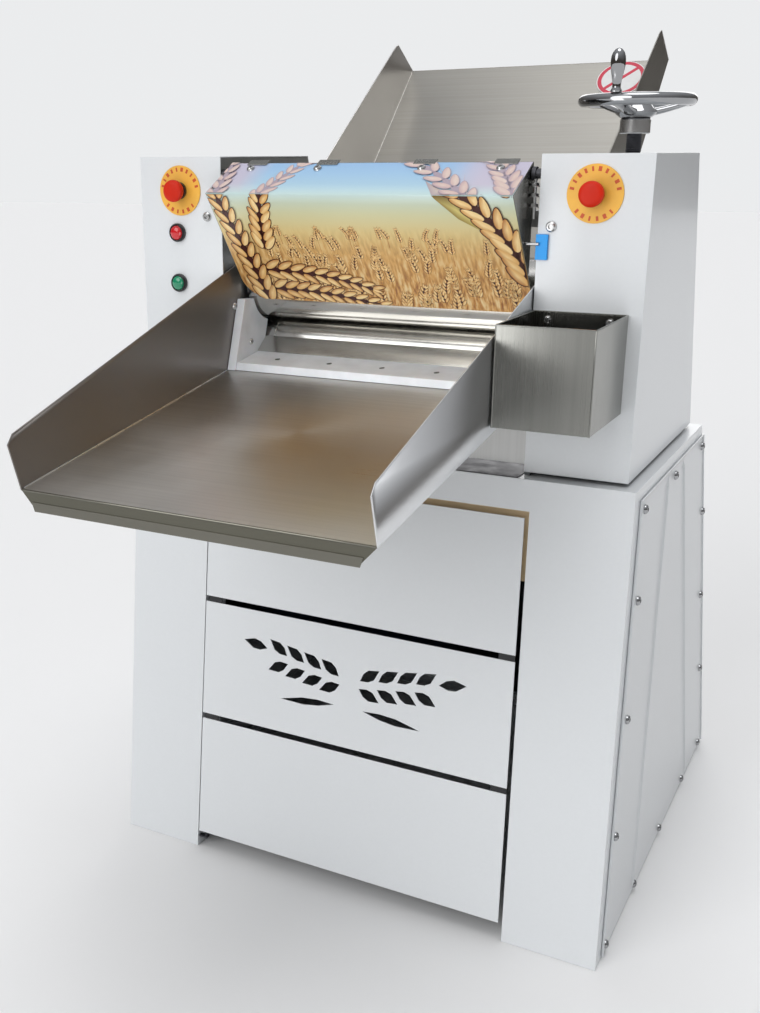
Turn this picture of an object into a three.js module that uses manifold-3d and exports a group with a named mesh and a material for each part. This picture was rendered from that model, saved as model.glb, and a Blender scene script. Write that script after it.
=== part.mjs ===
// Dough sheeter: two steel rollers between two white housings on a flared cabinet,
// with a front tray, a rear feed tray, a hinged guard, a flour box and a gap handwheel.
// Millimetres. X is to the right seen from the front, Y to the back, Z up, floor at Z = 0.
import * as THREE from 'three';
import { mergeVertices } from 'three/addons/utils/BufferGeometryUtils.js';
import Module from 'manifold-3d';

const wasm = await Module();
wasm.setup();

// ---- driving dimensions -------------------------------------------------
const GAP = 600;                 // clear width between the two housings
const HOUSING_WIDTH = 178;
const TOP = 1400;                // top of the housings
const DECK = 875;                // top of the cabinet
const HOUSING_BASE = DECK + 6;   // the shells stop short of the deck
const HOUSING_DEPTH_TOP = 340;
const HOUSING_REAR_SLOPE = 0.345; // rear wall, mm back per mm down
const SHEET = 2;                 // painted sheet
const STEEL = 1.5;               // stainless sheet
const FIT = 0.3;                 // clearance between touching pieces

const CABINET = { halfTop: 497, halfBottom: 515, frontTop: -25, frontBottom: -98, rearTop: 546, rearBottom: 895 };
const DOOR_TOP = 808;
const DOOR_BOTTOM = 36;
const OPENING_TOP = 820;
const OPENING_HALF_TOP = 322;    // half width of the front opening at deck height
const OPENING_FLARE = 16;        // how much wider it is at the floor
const DOOR_SLITS = [301, 554];   // heights of the two gaps between door panels
const SLIT = 12;
const DOOR_PIN = { inset: 14, depth: 7, radius: 3 };

const ROLLER_RADIUS = 65;
const ROLLER_HALF = 294;
const SHAFT_RADIUS = 20;
const UPPER = { y: 142, z: 1163 };
const LOWER = { y: 185, z: 1036 };
const SIDE_PLATE = 10;
const GEAR_TEETH = 18;
const GEAR_X = 340;
const GEAR_WIDTH = 28;
const CHAIN_X = 397;             // middle of the chain and of both sprockets
const CHAIN_SIZE = 10;
const BIG_SPROCKET = 85;
const SMALL_SPROCKET = 45;
const DRIVE = { y: 250, z: 560 };
const SHELF_Z = 470;

const WHEEL = { x: 389, y: 225, z: 1484, radius: 87, tube: 10 };
const KNOB_ANGLE = 4.54;         // where the crank knob stands on the rim, from +X
const SCREW_RADIUS = 12;
const CROSSBAR = { y: 225, z: 1290, half: 15 };

const GUARD_HALF = 283;
const GUARD_REAR = [14, 1388];
const GUARD_NOSE = [-79, 1338];
const GUARD_FOOT = [67, 1141];
const GUARD_PIVOT = { y: 10, z: 1370 };

const TRAY_SIDE = 298;           // outer face of both trays' side plates
const TRAY_FRONT = -617;         // tip of the front tray
const FLOOR_SLOPE = 0.148;       // front tray floor, mm up per mm back
const trayFloor = (y) => 1008.3 + FLOOR_SLOPE * y;
const FLOUR_BOX = { left: 302, right: 456, front: -190, bottom: 997, top: 1155 };

const ESTOP = { x: 389, z: 1340, disc: 45, head: 20 };
const BUTTON = { x: -397, red: 1264, green: 1171, bezel: 17, cap: 13.4 };
const BARREL = 11;               // threaded barrels of all the operators

// ---- materials ----------------------------------------------------------
const paint = {
  white: { color: 0xeef0f1, roughness: 0.35, metalness: 0.0 },
  stainless: { color: 0xb4b2ac, roughness: 0.3, metalness: 1.0 },
  steel: { color: 0x77797b, roughness: 0.4, metalness: 1.0 },
  darkSteel: { color: 0x3c3e40, roughness: 0.5, metalness: 0.8 },
  chrome: { color: 0xdcdee0, roughness: 0.08, metalness: 1.0 },
  nylon: { color: 0xf2f3f4, roughness: 0.45, metalness: 0.0 },
  black: { color: 0x17181a, roughness: 0.5, metalness: 0.0 },
  yellow: { color: 0xf2c12e, roughness: 0.4, metalness: 0.0 },
  red: { color: 0xd9201c, roughness: 0.3, metalness: 0.0 },
  green: { color: 0x0f8f63, roughness: 0.3, metalness: 0.0 },
  blue: { color: 0x1292d8, roughness: 0.4, metalness: 0.0 },
  tan: { color: 0xc9a77a, roughness: 0.7, metalness: 0.0 },
  guard: { color: 0xd9a85a, roughness: 0.35, metalness: 0.1 },
  motor: { color: 0x3f6286, roughness: 0.5, metalness: 0.2 },
};

// Pieces are drawn with Y = 0 at the housings' front faces. The group's place puts the part's
// origin on the floor at the middle of the whole footprint.
const root = new THREE.Group();
root.name = 'dough_sheeter';
root.position.y = -(TRAY_FRONT + CABINET.rearBottom) / 2;

function add(name, geometry, finish) {
  const mesh = new THREE.Mesh(geometry, new THREE.MeshStandardMaterial(paint[finish]));
  mesh.name = name;
  root.add(mesh);
}

// ---- solids and their sums ----------------------------------------------
function toSolid(geometry) {
  const source = geometry.index ? geometry.toNonIndexed() : geometry.clone();
  source.deleteAttribute('normal');
  source.deleteAttribute('uv');
  const welded = mergeVertices(source, 1e-4);
  return new wasm.Manifold(new wasm.Mesh({
    numProp: 3,
    vertProperties: new Float32Array(welded.attributes.position.array),
    triVerts: new Uint32Array(welded.index.array),
  }));
}

function toGeometry(solid) {
  const mesh = solid.getMesh();
  const geometry = new THREE.BufferGeometry();
  geometry.setAttribute('position', new THREE.BufferAttribute(new Float32Array(mesh.vertProperties), 3));
  geometry.setIndex(new THREE.BufferAttribute(new Uint32Array(mesh.triVerts), 1));
  geometry.computeVertexNormals();
  return geometry;
}

function join(...pieces) {
  return toGeometry(pieces.map(toSolid).reduce((sum, piece) => sum.add(piece)));
}

function cut(body, ...tools) {
  return toGeometry(tools.map(toSolid).reduce((rest, tool) => rest.subtract(tool), toSolid(body)));
}

// ---- shapes -------------------------------------------------------------
function outline(points, holes = []) {
  const shape = new THREE.Shape(points.map(([u, v]) => new THREE.Vector2(u, v)));
  for (const hole of holes) {
    shape.holes.push(new THREE.Path(hole.map(([u, v]) => new THREE.Vector2(u, v))));
  }
  return shape;
}

function slab(points, thickness, holes = []) {
  return new THREE.ExtrudeGeometry(outline(points, holes), { depth: thickness, bevelEnabled: false });
}

const AXES = {
  x: new THREE.Matrix4().set(0, 0, 1, 0, 1, 0, 0, 0, 0, 1, 0, 0, 0, 0, 0, 1),
  y: new THREE.Matrix4().set(1, 0, 0, 0, 0, 0, -1, 0, 0, 1, 0, 0, 0, 0, 0, 1),
};

// An outline in (Y, Z) carried along X.
function alongX(points, from, to, holes = []) {
  return slab(points, to - from, holes).applyMatrix4(AXES.x).translate(from, 0, 0);
}

// An outline in (X, Z) carried along Y.
function alongY(points, from, to, holes = []) {
  return slab(points, to - from, holes).applyMatrix4(AXES.y).translate(0, to, 0);
}

function box(x0, x1, y0, y1, z0, z1) {
  return new THREE.BoxGeometry(x1 - x0, y1 - y0, z1 - z0)
    .translate((x0 + x1) / 2, (y0 + y1) / 2, (z0 + z1) / 2);
}

function rectangle(u0, u1, v0, v1) {
  return [[u0, v0], [u1, v0], [u1, v1], [u0, v1]];
}

function circle(u, v, radius, count = 28) {
  return Array.from({ length: count }, (_, i) => {
    const angle = (2 * Math.PI * i) / count;
    return [u + radius * Math.cos(angle), v + radius * Math.sin(angle)];
  });
}

// A turned piece: [radius, distance along the axis] pairs, closed on the axis or on itself,
// listed in either direction.
function turned(profile, segments = 32) {
  const area = profile.reduce((sum, [r, h], i) => {
    const [nextR, nextH] = profile[(i + 1) % profile.length];
    return sum + r * nextH - nextR * h;
  }, 0);
  const ordered = area > 0 ? profile : [...profile].reverse();
  return new THREE.LatheGeometry(ordered.map(([r, h]) => new THREE.Vector2(r, h)), segments);
}
const turnedX = (profile, x, y, z, segments) => turned(profile, segments).rotateZ(-Math.PI / 2).translate(x, y, z);
const turnedY = (profile, x, y, z, segments) => turned(profile, segments).translate(x, y, z);
const turnedZ = (profile, x, y, z, segments) => turned(profile, segments).rotateX(Math.PI / 2).translate(x, y, z);

function ring(inner, outer, from, to) {
  return [[inner, from], [outer, from], [outer, to], [inner, to], [inner, from]];
}

// A folded sheet seen end on: the open line, thickened to its left side.
function folded(line, thickness) {
  const offset = line.map((point, i) => {
    const before = line[Math.max(i - 1, 0)];
    const after = line[Math.min(i + 1, line.length - 1)];
    const into = i > 0 ? direction(before, point) : direction(point, after);
    const out = i < line.length - 1 ? direction(point, after) : into;
    const bend = 1 + into[0] * out[0] + into[1] * out[1];
    return [
      point[0] - (thickness * (into[1] + out[1])) / bend,
      point[1] + (thickness * (into[0] + out[0])) / bend,
    ];
  });
  return [...line, ...offset.reverse()];
}

function direction(from, to) {
  const length = Math.hypot(to[0] - from[0], to[1] - from[1]);
  return [(to[0] - from[0]) / length, (to[1] - from[1]) / length];
}

// A six-sided block from its bottom and top corners, each listed anticlockwise from above.
function block(bottom, top) {
  const faces = [0, 2, 1, 0, 3, 2, 4, 5, 6, 4, 6, 7];
  for (let i = 0; i < 4; i += 1) {
    const j = (i + 1) % 4;
    faces.push(i, j, j + 4, i, j + 4, i + 4);
  }
  const geometry = new THREE.BufferGeometry();
  geometry.setAttribute('position', new THREE.Float32BufferAttribute([...bottom, ...top].flat(), 3));
  geometry.setIndex(faces);
  return geometry.toNonIndexed();
}

// ---- the flared cabinet -------------------------------------------------
const flare = (z) => 1 - z / DECK;
const sideAt = (z) => CABINET.halfTop + (CABINET.halfBottom - CABINET.halfTop) * flare(z);
const frontAt = (z) => CABINET.frontTop + (CABINET.frontBottom - CABINET.frontTop) * flare(z);
const rearAt = (z) => CABINET.rearTop + (CABINET.rearBottom - CABINET.rearTop) * flare(z);
const openingAt = (z) => OPENING_HALF_TOP + OPENING_FLARE * flare(z);

function cabinetBlock(inset, z0, z1) {
  const corners = (z) => [
    [-sideAt(z) + inset, frontAt(z) + inset, z],
    [sideAt(z) - inset, frontAt(z) + inset, z],
    [sideAt(z) - inset, rearAt(z) - inset, z],
    [-sideAt(z) + inset, rearAt(z) - inset, z],
  ];
  return block(corners(z0), corners(z1));
}

// A slab behind the sloping front face, between two depths; the outline is in (X, Z).
function inFront(points, depth0, depth1, holes = []) {
  const lean = Math.atan((CABINET.frontTop - CABINET.frontBottom) / DECK);
  const stretch = (list) => list.map(([x, z]) => [x, z / Math.cos(lean)]);
  return alongY(stretch(points), depth0, depth1, holes.map(stretch))
    .rotateX(-lean)
    .translate(0, CABINET.frontBottom, 0);
}

function baseFrame() {
  const wall = 3;
  const shell = cut(cabinetBlock(0, 0, DECK), cabinetBlock(wall, -1, DECK - wall));
  const sole = cut(cabinetBlock(0, 0, wall), cabinetBlock(28, -1, wall + 1));
  const lip = 2;
  const foot = 3;
  const flange = (side) => {
    const strip = [
      [side * (openingAt(foot) - lip), foot], [side * (openingAt(foot) + wall), foot],
      [side * (openingAt(OPENING_TOP) + wall), OPENING_TOP + wall],
      [side * (openingAt(OPENING_TOP) - lip), OPENING_TOP + wall],
    ];
    return inFront(strip, 1, 33);
  };
  const half = openingAt(OPENING_TOP) + wall;
  const lintel = inFront(rectangle(-half, half, OPENING_TOP - lip, OPENING_TOP + wall), 1, 33);
  const doorway = alongY([
    [-openingAt(-5), -5], [openingAt(-5), -5],
    [openingAt(OPENING_TOP), OPENING_TOP], [-openingAt(OPENING_TOP), OPENING_TOP],
  ], -200, 20);
  const border = 40;
  const sill = 60;
  const head = DECK - 45;
  const sideWindow = [
    [frontAt(sill) + border, sill], [rearAt(sill) - border, sill],
    [rearAt(head) - border, head], [frontAt(head) + border, head],
  ];
  const rearWindow = [
    [rearAt(sill) - 12, sill], [rearAt(sill) + border, sill], [rearAt(head) + border, head], [rearAt(head) - 12, head],
  ];
  add('base_frame', cut(
    join(shell, sole, flange(-1), flange(1), lintel),
    doorway,
    alongX(sideWindow, -600, -450),
    alongX(sideWindow, 450, 600),
    alongX(rearWindow, -440, 440),
    box(-470, -320, 60, 400, DECK - 10, DECK + 10),
    box(330, 460, 80, 300, DECK - 10, DECK + 10),
  ), 'white');
}

function sideCover(name, side) {
  const bottom = 6;
  const top = 852;
  const margin = 38;
  const corners = (z) => {
    const inner = side * (sideAt(z) + FIT);
    const outer = side * (sideAt(z) + FIT + SHEET);
    const x0 = Math.min(inner, outer);
    const x1 = Math.max(inner, outer);
    const y0 = frontAt(z) + margin;
    const y1 = rearAt(z) - 2;
    return [[x0, y0, z], [x1, y0, z], [x1, y1, z], [x0, y1, z]];
  };
  add(name, block(corners(bottom), corners(top)), 'white');
}

function rearCover() {
  const corners = (z) => {
    const half = sideAt(z) - 14;
    const y0 = rearAt(z) + FIT;
    return [[-half, y0, z], [half, y0, z], [half, y0 + SHEET, z], [-half, y0 + SHEET, z]];
  };
  const louvres = [];
  for (const x of [-260, 100]) {
    for (let row = 0; row < 5; row += 1) {
      const z = 180 + 36 * row;
      louvres.push(box(x, x + 160, rearAt(z) - 30, rearAt(z) + 40, z, z + 10));
    }
  }
  add('rear_cover', cut(block(corners(10), corners(852)), ...louvres), 'white');
}

// ---- the front door, hinged on its left edge ------------------------------
const doorLeft = (z) => -openingAt(z) + 2;
const doorRight = (z) => openingAt(z) - 8;

function doorOutline(z0, z1, inset = 0) {
  return [
    [doorLeft(z0) + inset, z0 + inset], [doorRight(z0) - inset, z0 + inset],
    [doorRight(z1) - inset, z1 - inset], [doorLeft(z1) + inset, z1 - inset],
  ];
}

// A lens shape for one cut-out grain, leaning by the given angle.
function grain(x, z, length, width, angle) {
  const half = [[0, -0.5], [0.36, -0.2], [0.42, 0.08], [0, 0.5], [-0.42, 0.08], [-0.36, -0.2]];
  return half.map(([u, v]) => [
    x + u * width * Math.cos(angle) - v * length * Math.sin(angle),
    z + u * width * Math.sin(angle) + v * length * Math.cos(angle),
  ]);
}

// A generic ear of wheat over a leaf, lying towards +X or -X from its root.
function wheatEar(rootX, rootZ, side) {
  const pairs = 4;
  const step = 38;
  const rise = 6;
  const length = 48;
  const width = 25;
  const grains = [];
  for (let i = 0; i < pairs; i += 1) {
    const x = rootX + side * step * (i + 1);
    const z = rootZ + rise * i;
    grains.push(grain(x, z + 20, length, width, -side * 0.95));
    grains.push(grain(x, z - 20, length, width, -side * 2.0));
  }
  grains.push(grain(rootX + side * (step * pairs + 52), rootZ + rise * 6, length + 6, width, -side * 1.4));
  grains.push(grain(rootX + side * 86, rootZ - 60, 120, 17, -side * 1.68));
  return grains;
}

function door() {
  const back = SHEET + FIT;
  const notches = DOOR_SLITS.map((z) => inFront(rectangle(-400, 400, z - SLIT, z + SLIT), 0, 13));
  const border = inFront(doorOutline(DOOR_BOTTOM, DOOR_TOP, 6), back, 20, [doorOutline(DOOR_BOTTOM, DOOR_TOP, 34)]);
  add('door_frame', cut(border, ...notches), 'white');
  const levels = [DOOR_BOTTOM, DOOR_SLITS[0] - SLIT / 2, DOOR_SLITS[0] + SLIT / 2,
    DOOR_SLITS[1] - SLIT / 2, DOOR_SLITS[1] + SLIT / 2, DOOR_TOP];
  const middle = (DOOR_SLITS[0] + DOOR_SLITS[1]) / 2;
  const motif = [...wheatEar(-4, middle + 16, -1), ...wheatEar(4, middle + 16, 1)];
  const names = ['door_panel_bottom', 'door_panel_middle', 'door_panel_top'];
  names.forEach((name, i) => {
    const holes = name === 'door_panel_middle' ? motif : [];
    add(name, inFront(doorOutline(levels[2 * i], levels[2 * i + 1]), 0, SHEET, holes), 'white');
  });
}

function doorFurniture() {
  const right = (z) => openingAt(z) - FIT - 0.4;
  const under = OPENING_TOP - FIT;
  add('door_seal', inFront([
    [-300, 790], [298, 790], [298, 690], [right(690), 690], [right(under), under], [-300, under],
  ], 24, 30), 'tan');
  const pin = (z0, z1) => {
    const x = doorLeft((z0 + z1) / 2) + DOOR_PIN.inset;
    const y = frontAt((z0 + z1) / 2) + DOOR_PIN.depth;
    return turnedZ([[0, z0], [DOOR_PIN.radius, z0], [DOOR_PIN.radius, z1], [0, z1]], x, y, 0, 16);
  };
  const low = DOOR_BOTTOM - 12;
  const edge = -openingAt(low) + FIT;
  const tab = box(edge, edge + DOOR_PIN.inset + 6, frontAt(low) + 2.5, frontAt(low) + 14, low - 4, low);
  add('door_pin_lower', join(pin(low - 1, DOOR_BOTTOM + 3.5), tab), 'darkSteel');
  add('door_pin_upper', pin(DOOR_TOP - 4, OPENING_TOP - 1.5), 'darkSteel');
}

// ---- housings and their side plates ---------------------------------------
const housingRear = (z) => HOUSING_DEPTH_TOP + (TOP - z) * HOUSING_REAR_SLOPE;

function housingProfile(inset, bottom) {
  const slant = inset * Math.hypot(1, HOUSING_REAR_SLOPE);
  return [
    [inset, bottom], [housingRear(bottom) - slant, bottom],
    [housingRear(TOP - inset) - slant, TOP - inset], [inset, TOP - inset],
  ];
}

// The same piece on either side: x is measured outwards from the middle.
function acrossX(points, side, inner, outer, holes = []) {
  return side > 0 ? alongX(points, inner, outer, holes) : alongX(points, -outer, -inner, holes);
}

function housing(name, side) {
  const inner = GAP / 2;
  const outer = inner + HOUSING_WIDTH;
  const hole = (x, z) => turnedY([[0, -5], [BARREL + FIT, -5], [BARREL + FIT, 5], [0, 5]], x, 0, z, 24);
  const holes = side < 0
    ? [hole(-ESTOP.x, ESTOP.z), hole(BUTTON.x, BUTTON.red), hole(BUTTON.x, BUTTON.green)]
    : [hole(ESTOP.x, ESTOP.z), turnedZ([[0, -5], [15, -5], [15, 5], [0, 5]], WHEEL.x, WHEEL.y, TOP, 24)];
  add(name, cut(
    acrossX(housingProfile(0, HOUSING_BASE), side, inner, outer),
    acrossX(housingProfile(SHEET, HOUSING_BASE - 5), side, inner - 1, outer - SHEET),
    ...holes,
  ), 'white');
}

function sidePlate(name, side) {
  const half = 46;
  const holes = [
    circle(LOWER.y, LOWER.z, 45),
    rectangle(UPPER.y - half, UPPER.y + half, UPPER.z - half - 5, UPPER.z + half + 16),
    rectangle(CROSSBAR.y - 21, CROSSBAR.y + 21, CROSSBAR.z - 22, CROSSBAR.z + 34),
    circle(GUARD_PIVOT.y, GUARD_PIVOT.z, 6.4, 16),
  ];
  const inner = GAP / 2 + FIT;
  add(name, acrossX(housingProfile(SHEET + 0.5, DECK + FIT), side, inner, inner + SIDE_PLATE, holes), 'steel');
}

// ---- rollers, bearings and gears ------------------------------------------
// Each end of the face carries the given grooves, as distances in from the end.
function roller(name, at, leftEnd, rightEnd, grooves = []) {
  const face = ROLLER_RADIUS;
  const notch = (x) => [[face, x - 1.5], [face - 2, x - 1.5], [face - 2, x + 1.5], [face, x + 1.5]];
  add(name, turnedX([
    [0, -leftEnd], [SHAFT_RADIUS, -leftEnd], [SHAFT_RADIUS, -ROLLER_HALF], [face, -ROLLER_HALF],
    ...grooves.flatMap((x) => notch(x - ROLLER_HALF)),
    ...grooves.flatMap((x) => notch(ROLLER_HALF - x)),
    [face, ROLLER_HALF], [SHAFT_RADIUS, ROLLER_HALF], [SHAFT_RADIUS, rightEnd], [0, rightEnd],
  ], 0, at.y, at.z, 44), 'stainless');
}

function lowerBearing(name, side) {
  const inner = GAP / 2 + 0.6;
  const flange = GAP / 2 + SIDE_PLATE + 2 * FIT;
  const profile = [
    [SHAFT_RADIUS + FIT, inner], [44.6, inner], [44.6, flange], [60, flange],
    [60, flange + 12], [SHAFT_RADIUS + FIT, flange + 12], [SHAFT_RADIUS + FIT, inner],
  ].map(([r, x]) => [r, side * x]);
  add(name, turnedX(profile, 0, LOWER.y, LOWER.z), 'darkSteel');
}

function upperBearing(name, side) {
  const half = 45.6;
  const inner = GAP / 2 + 0.8;
  const flange = GAP / 2 + SIDE_PLATE + 2 * FIT;
  const bore = circle(UPPER.y, UPPER.z, SHAFT_RADIUS + FIT);
  const square = (size) => rectangle(UPPER.y - size, UPPER.y + size, UPPER.z - size, UPPER.z + size);
  add(name, join(
    acrossX(square(half), side, inner, flange + 2, [bore]),
    acrossX(square(52), side, flange, flange + 18, [bore]),
  ), 'darkSteel');
}

function gear(name, at, firstTooth) {
  const pitch = Math.hypot(UPPER.y - LOWER.y, UPPER.z - LOWER.z) / 2;
  const step = (2 * Math.PI) / GEAR_TEETH;
  const root = pitch - 9;
  const tip = pitch + 5;
  const flank = [[-0.27, root], [-0.2, pitch], [-0.11, tip], [0.11, tip], [0.2, pitch], [0.27, root]];
  const points = [];
  for (let tooth = 0; tooth < GEAR_TEETH; tooth += 1) {
    for (const [share, radius] of flank) {
      const angle = firstTooth + (tooth + share) * step;
      points.push([at.y + radius * Math.cos(angle), at.z + radius * Math.sin(angle)]);
    }
  }
  add(name, alongX(points, -GEAR_X - GEAR_WIDTH, -GEAR_X, [circle(at.y, at.z, SHAFT_RADIUS + FIT)]), 'steel');
}

function gears() {
  const line = Math.atan2(UPPER.z - LOWER.z, UPPER.y - LOWER.y);
  gear('gear_lower', LOWER, line);
  gear('gear_upper', UPPER, line + Math.PI + Math.PI / GEAR_TEETH);
}

// ---- chain drive from the motor -------------------------------------------
// The band round both sprockets, grown outwards by the given amount.
function chainPath(grow) {
  const big = BIG_SPROCKET + grow;
  const small = SMALL_SPROCKET + grow;
  const along = Math.atan2(DRIVE.z - LOWER.z, DRIVE.y - LOWER.y);
  const spread = Math.acos((big - small) / Math.hypot(DRIVE.y - LOWER.y, DRIVE.z - LOWER.z));
  const arc = (at, radius, from, to, count) => Array.from({ length: count + 1 }, (_, i) => {
    const angle = from + ((to - from) * i) / count;
    return [at.y + radius * Math.cos(angle), at.z + radius * Math.sin(angle)];
  });
  return [
    ...arc(LOWER, big, along + spread, along + 2 * Math.PI - spread, 24),
    ...arc(DRIVE, small, along - spread, along + spread, 14),
  ];
}

function drive() {
  const half = 6;
  const hub = 14;
  add('drive_chain', alongX(chainPath(CHAIN_SIZE), -CHAIN_X - half, -CHAIN_X + half, [chainPath(0)]), 'darkSteel');
  const bore = SHAFT_RADIUS + FIT;
  const rim = BIG_SPROCKET - 0.6;
  add('roller_sprocket', turnedX([
    [bore, -CHAIN_X - hub], [34, -CHAIN_X - hub], [34, -CHAIN_X - 5], [rim, -CHAIN_X - 5],
    [rim, -CHAIN_X + 5], [34, -CHAIN_X + 5], [34, -CHAIN_X + hub], [bore, -CHAIN_X + hub], [bore, -CHAIN_X - hub],
  ], 0, LOWER.y, LOWER.z, 32), 'steel');
  const shaft = 15;
  const small = SMALL_SPROCKET - 0.6;
  add('drive_sprocket', turnedX([
    [0, -CHAIN_X - hub], [26, -CHAIN_X - hub], [26, -CHAIN_X - 5], [small, -CHAIN_X - 5],
    [small, -CHAIN_X + 5], [26, -CHAIN_X + 5], [26, -CHAIN_X + hub], [shaft, -CHAIN_X + hub],
    [shaft, -290], [0, -290],
  ], 0, DRIVE.y, DRIVE.z, 32), 'steel');
  const foot = SHELF_Z + 6 + FIT;
  add('reducer', cut(
    join(
      box(-330, -190, DRIVE.y - 75, DRIVE.y + 75, foot + 12, DRIVE.z + 78),
      box(-338, -192, DRIVE.y - 95, DRIVE.y + 95, foot, foot + 13),
    ),
    turnedX([[0, -335], [shaft + FIT, -335], [shaft + FIT, -285], [0, -285]], 0, DRIVE.y, DRIVE.z, 24),
  ), 'motor');
  add('motor', join(
    turnedX([[0, -189.6], [72, -189.6], [72, -178], [66, -178], [66, 62], [70, 62], [70, 104], [0, 104]],
      0, DRIVE.y, DRIVE.z, 32),
    box(-120, -20, DRIVE.y - 45, DRIVE.y + 45, DRIVE.z + 40, DRIVE.z + 98),
  ), 'motor');
}

function shelf() {
  const half = sideAt(SHELF_Z) - 5;
  add('motor_shelf', box(-half, half, frontAt(SHELF_Z) + 40, rearAt(SHELF_Z) - 12, SHELF_Z, SHELF_Z + 6), 'steel');
  add('control_box', box(250, 440, 260, 420, SHELF_Z + 6 + FIT, SHELF_Z + 226), 'motor');
}

// ---- gap adjustment -------------------------------------------------------
function lift() {
  const { y, z, half } = CROSSBAR;
  const inner = GAP / 2 + SIDE_PLATE + 2 * FIT + 1;
  const seat = UPPER.z + 52 + FIT;
  const arm = [[UPPER.y - 30, seat], [UPPER.y + 45, seat], [y + 18, z - half], [y + 18, z + half], [y - 18, z + half], [y - 18, z]];
  add('lift_crossbar', cut(
    join(
      box(-inner - 16, WHEEL.x + 32, y - half, y + half, z - half, z + half),
      acrossX(arm, -1, inner, inner + 17),
      acrossX(arm, 1, inner, inner + 17),
    ),
    turnedZ([[0, z - 20], [SCREW_RADIUS + FIT, z - 20], [SCREW_RADIUS + FIT, z + 20], [0, z + 20]], WHEEL.x, y, 0, 24),
  ), 'steel');
  const r = SCREW_RADIUS;
  const low = z - half - FIT;
  const high = z + half + FIT;
  const hubBase = WHEEL.z - 28;
  add('lift_screw', turnedZ([
    [0, low - 10], [20, low - 10], [20, low], [r, low], [r, high], [20, high], [20, high + 8],
    [r, high + 8], [r, hubBase - 24], [24, hubBase - 24], [24, hubBase - FIT], [0, hubBase - FIT],
  ], WHEEL.x, WHEEL.y, 0, 24), 'darkSteel');
  add('lift_nut', turnedZ(ring(r + FIT, 28, TOP - SHEET - 34, TOP - SHEET - FIT), WHEEL.x, WHEEL.y, 0), 'steel');
}

function handwheel() {
  const { x, y, z, radius, tube } = WHEEL;
  const rim = new THREE.TorusGeometry(radius, tube, 12, 40).translate(0, 0, z);
  const hubTop = z - 6;
  const hub = turnedZ([[0, z - 28], [26, z - 28], [36, z - 20], [28, hubTop - 2], [12, hubTop + 4], [0, hubTop + 4]], 0, 0, 0);
  const spokes = [0, 1, 2].map((i) => alongX([
    [20, z - 27], [radius, z - 7], [radius, z + 1], [20, z - 14],
  ], -15, 15).rotateZ((2 * Math.PI * i) / 3 + 0.4));
  add('handwheel', join(rim, hub, ...spokes).translate(x, y, 0), 'chrome');
  const seat = z + tube + FIT;
  add('crank_knob', turnedZ([
    [0, seat], [9, seat], [7, seat + 8], [12, seat + 34], [11.5, seat + 54], [7, seat + 64], [0, seat + 67],
  ], x + radius * Math.cos(KNOB_ANGLE), y + radius * Math.sin(KNOB_ANGLE), 0, 24), 'chrome');
}

// ---- guard over the rollers -------------------------------------------------
function guard() {
  const profile = folded([GUARD_FOOT, GUARD_NOSE, GUARD_REAR], -STEEL);
  const [downY, downZ] = direction(GUARD_NOSE, GUARD_FOOT);
  const radius = 50;
  const corner = (side) => {
    const arc = Array.from({ length: 9 }, (_, i) => {
      const angle = (Math.PI / 2) * (i / 8);
      return [side * (GUARD_HALF - radius + radius * Math.sin(angle)), -radius + radius * Math.cos(angle)];
    });
    const points = [...arc, [side * (GUARD_HALF + 5), -radius], [side * (GUARD_HALF + 5), 5], [side * (GUARD_HALF - radius), 5]];
    return slab(side > 0 ? points.reverse() : points, 20)
      .translate(0, 0, -10)
      .applyMatrix4(new THREE.Matrix4().makeBasis(
        new THREE.Vector3(1, 0, 0),
        new THREE.Vector3(0, downY, downZ),
        new THREE.Vector3(0, -downZ, downY),
      ))
      .translate(0, GUARD_FOOT[0], GUARD_FOOT[1]);
  };
  const sheet = cut(alongX(profile, -GUARD_HALF, GUARD_HALF), corner(-1), corner(1));
  const cheek = [
    [GUARD_REAR[0] + 0.4, GUARD_REAR[1] - 1], [GUARD_NOSE[0] + 1.4, GUARD_NOSE[1] - 0.2],
    [GUARD_NOSE[0] + 95 * downY + 1, GUARD_NOSE[1] + 95 * downZ + 1], [GUARD_REAR[0] + 6, 1212], [GUARD_REAR[0] + 6, 1340],
  ];
  const hole = circle(GUARD_PIVOT.y, GUARD_PIVOT.z, 6.4, 16);
  add('guard', join(
    sheet,
    acrossX(cheek, -1, GUARD_HALF - STEEL, GUARD_HALF, [hole]),
    acrossX(cheek, 1, GUARD_HALF - STEEL, GUARD_HALF, [hole]),
  ), 'guard');
  add('latch_pin', alongX(circle(-9, 1262, 2.5, 12), GUARD_HALF + FIT, 306), 'chrome');
}

function guardPivot(name, side) {
  const profile = [
    [0, 277], [10, 277], [10, 281], [6, 281], [6, 284], [11, 284], [11, 291], [8, 291], [8, 299.6],
    [6, 299.6], [6, 311], [7, 311], [7, 318], [0, 318],
  ].map(([r, x]) => [r, side * x]);
  add(name, turnedX(profile, 0, GUARD_PIVOT.y, GUARD_PIVOT.z, 14), 'darkSteel');
}

// ---- plastic cheeks, lead plate and scraper at the outlet -------------------
const CHEEK_INNER = 278.3;

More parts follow.
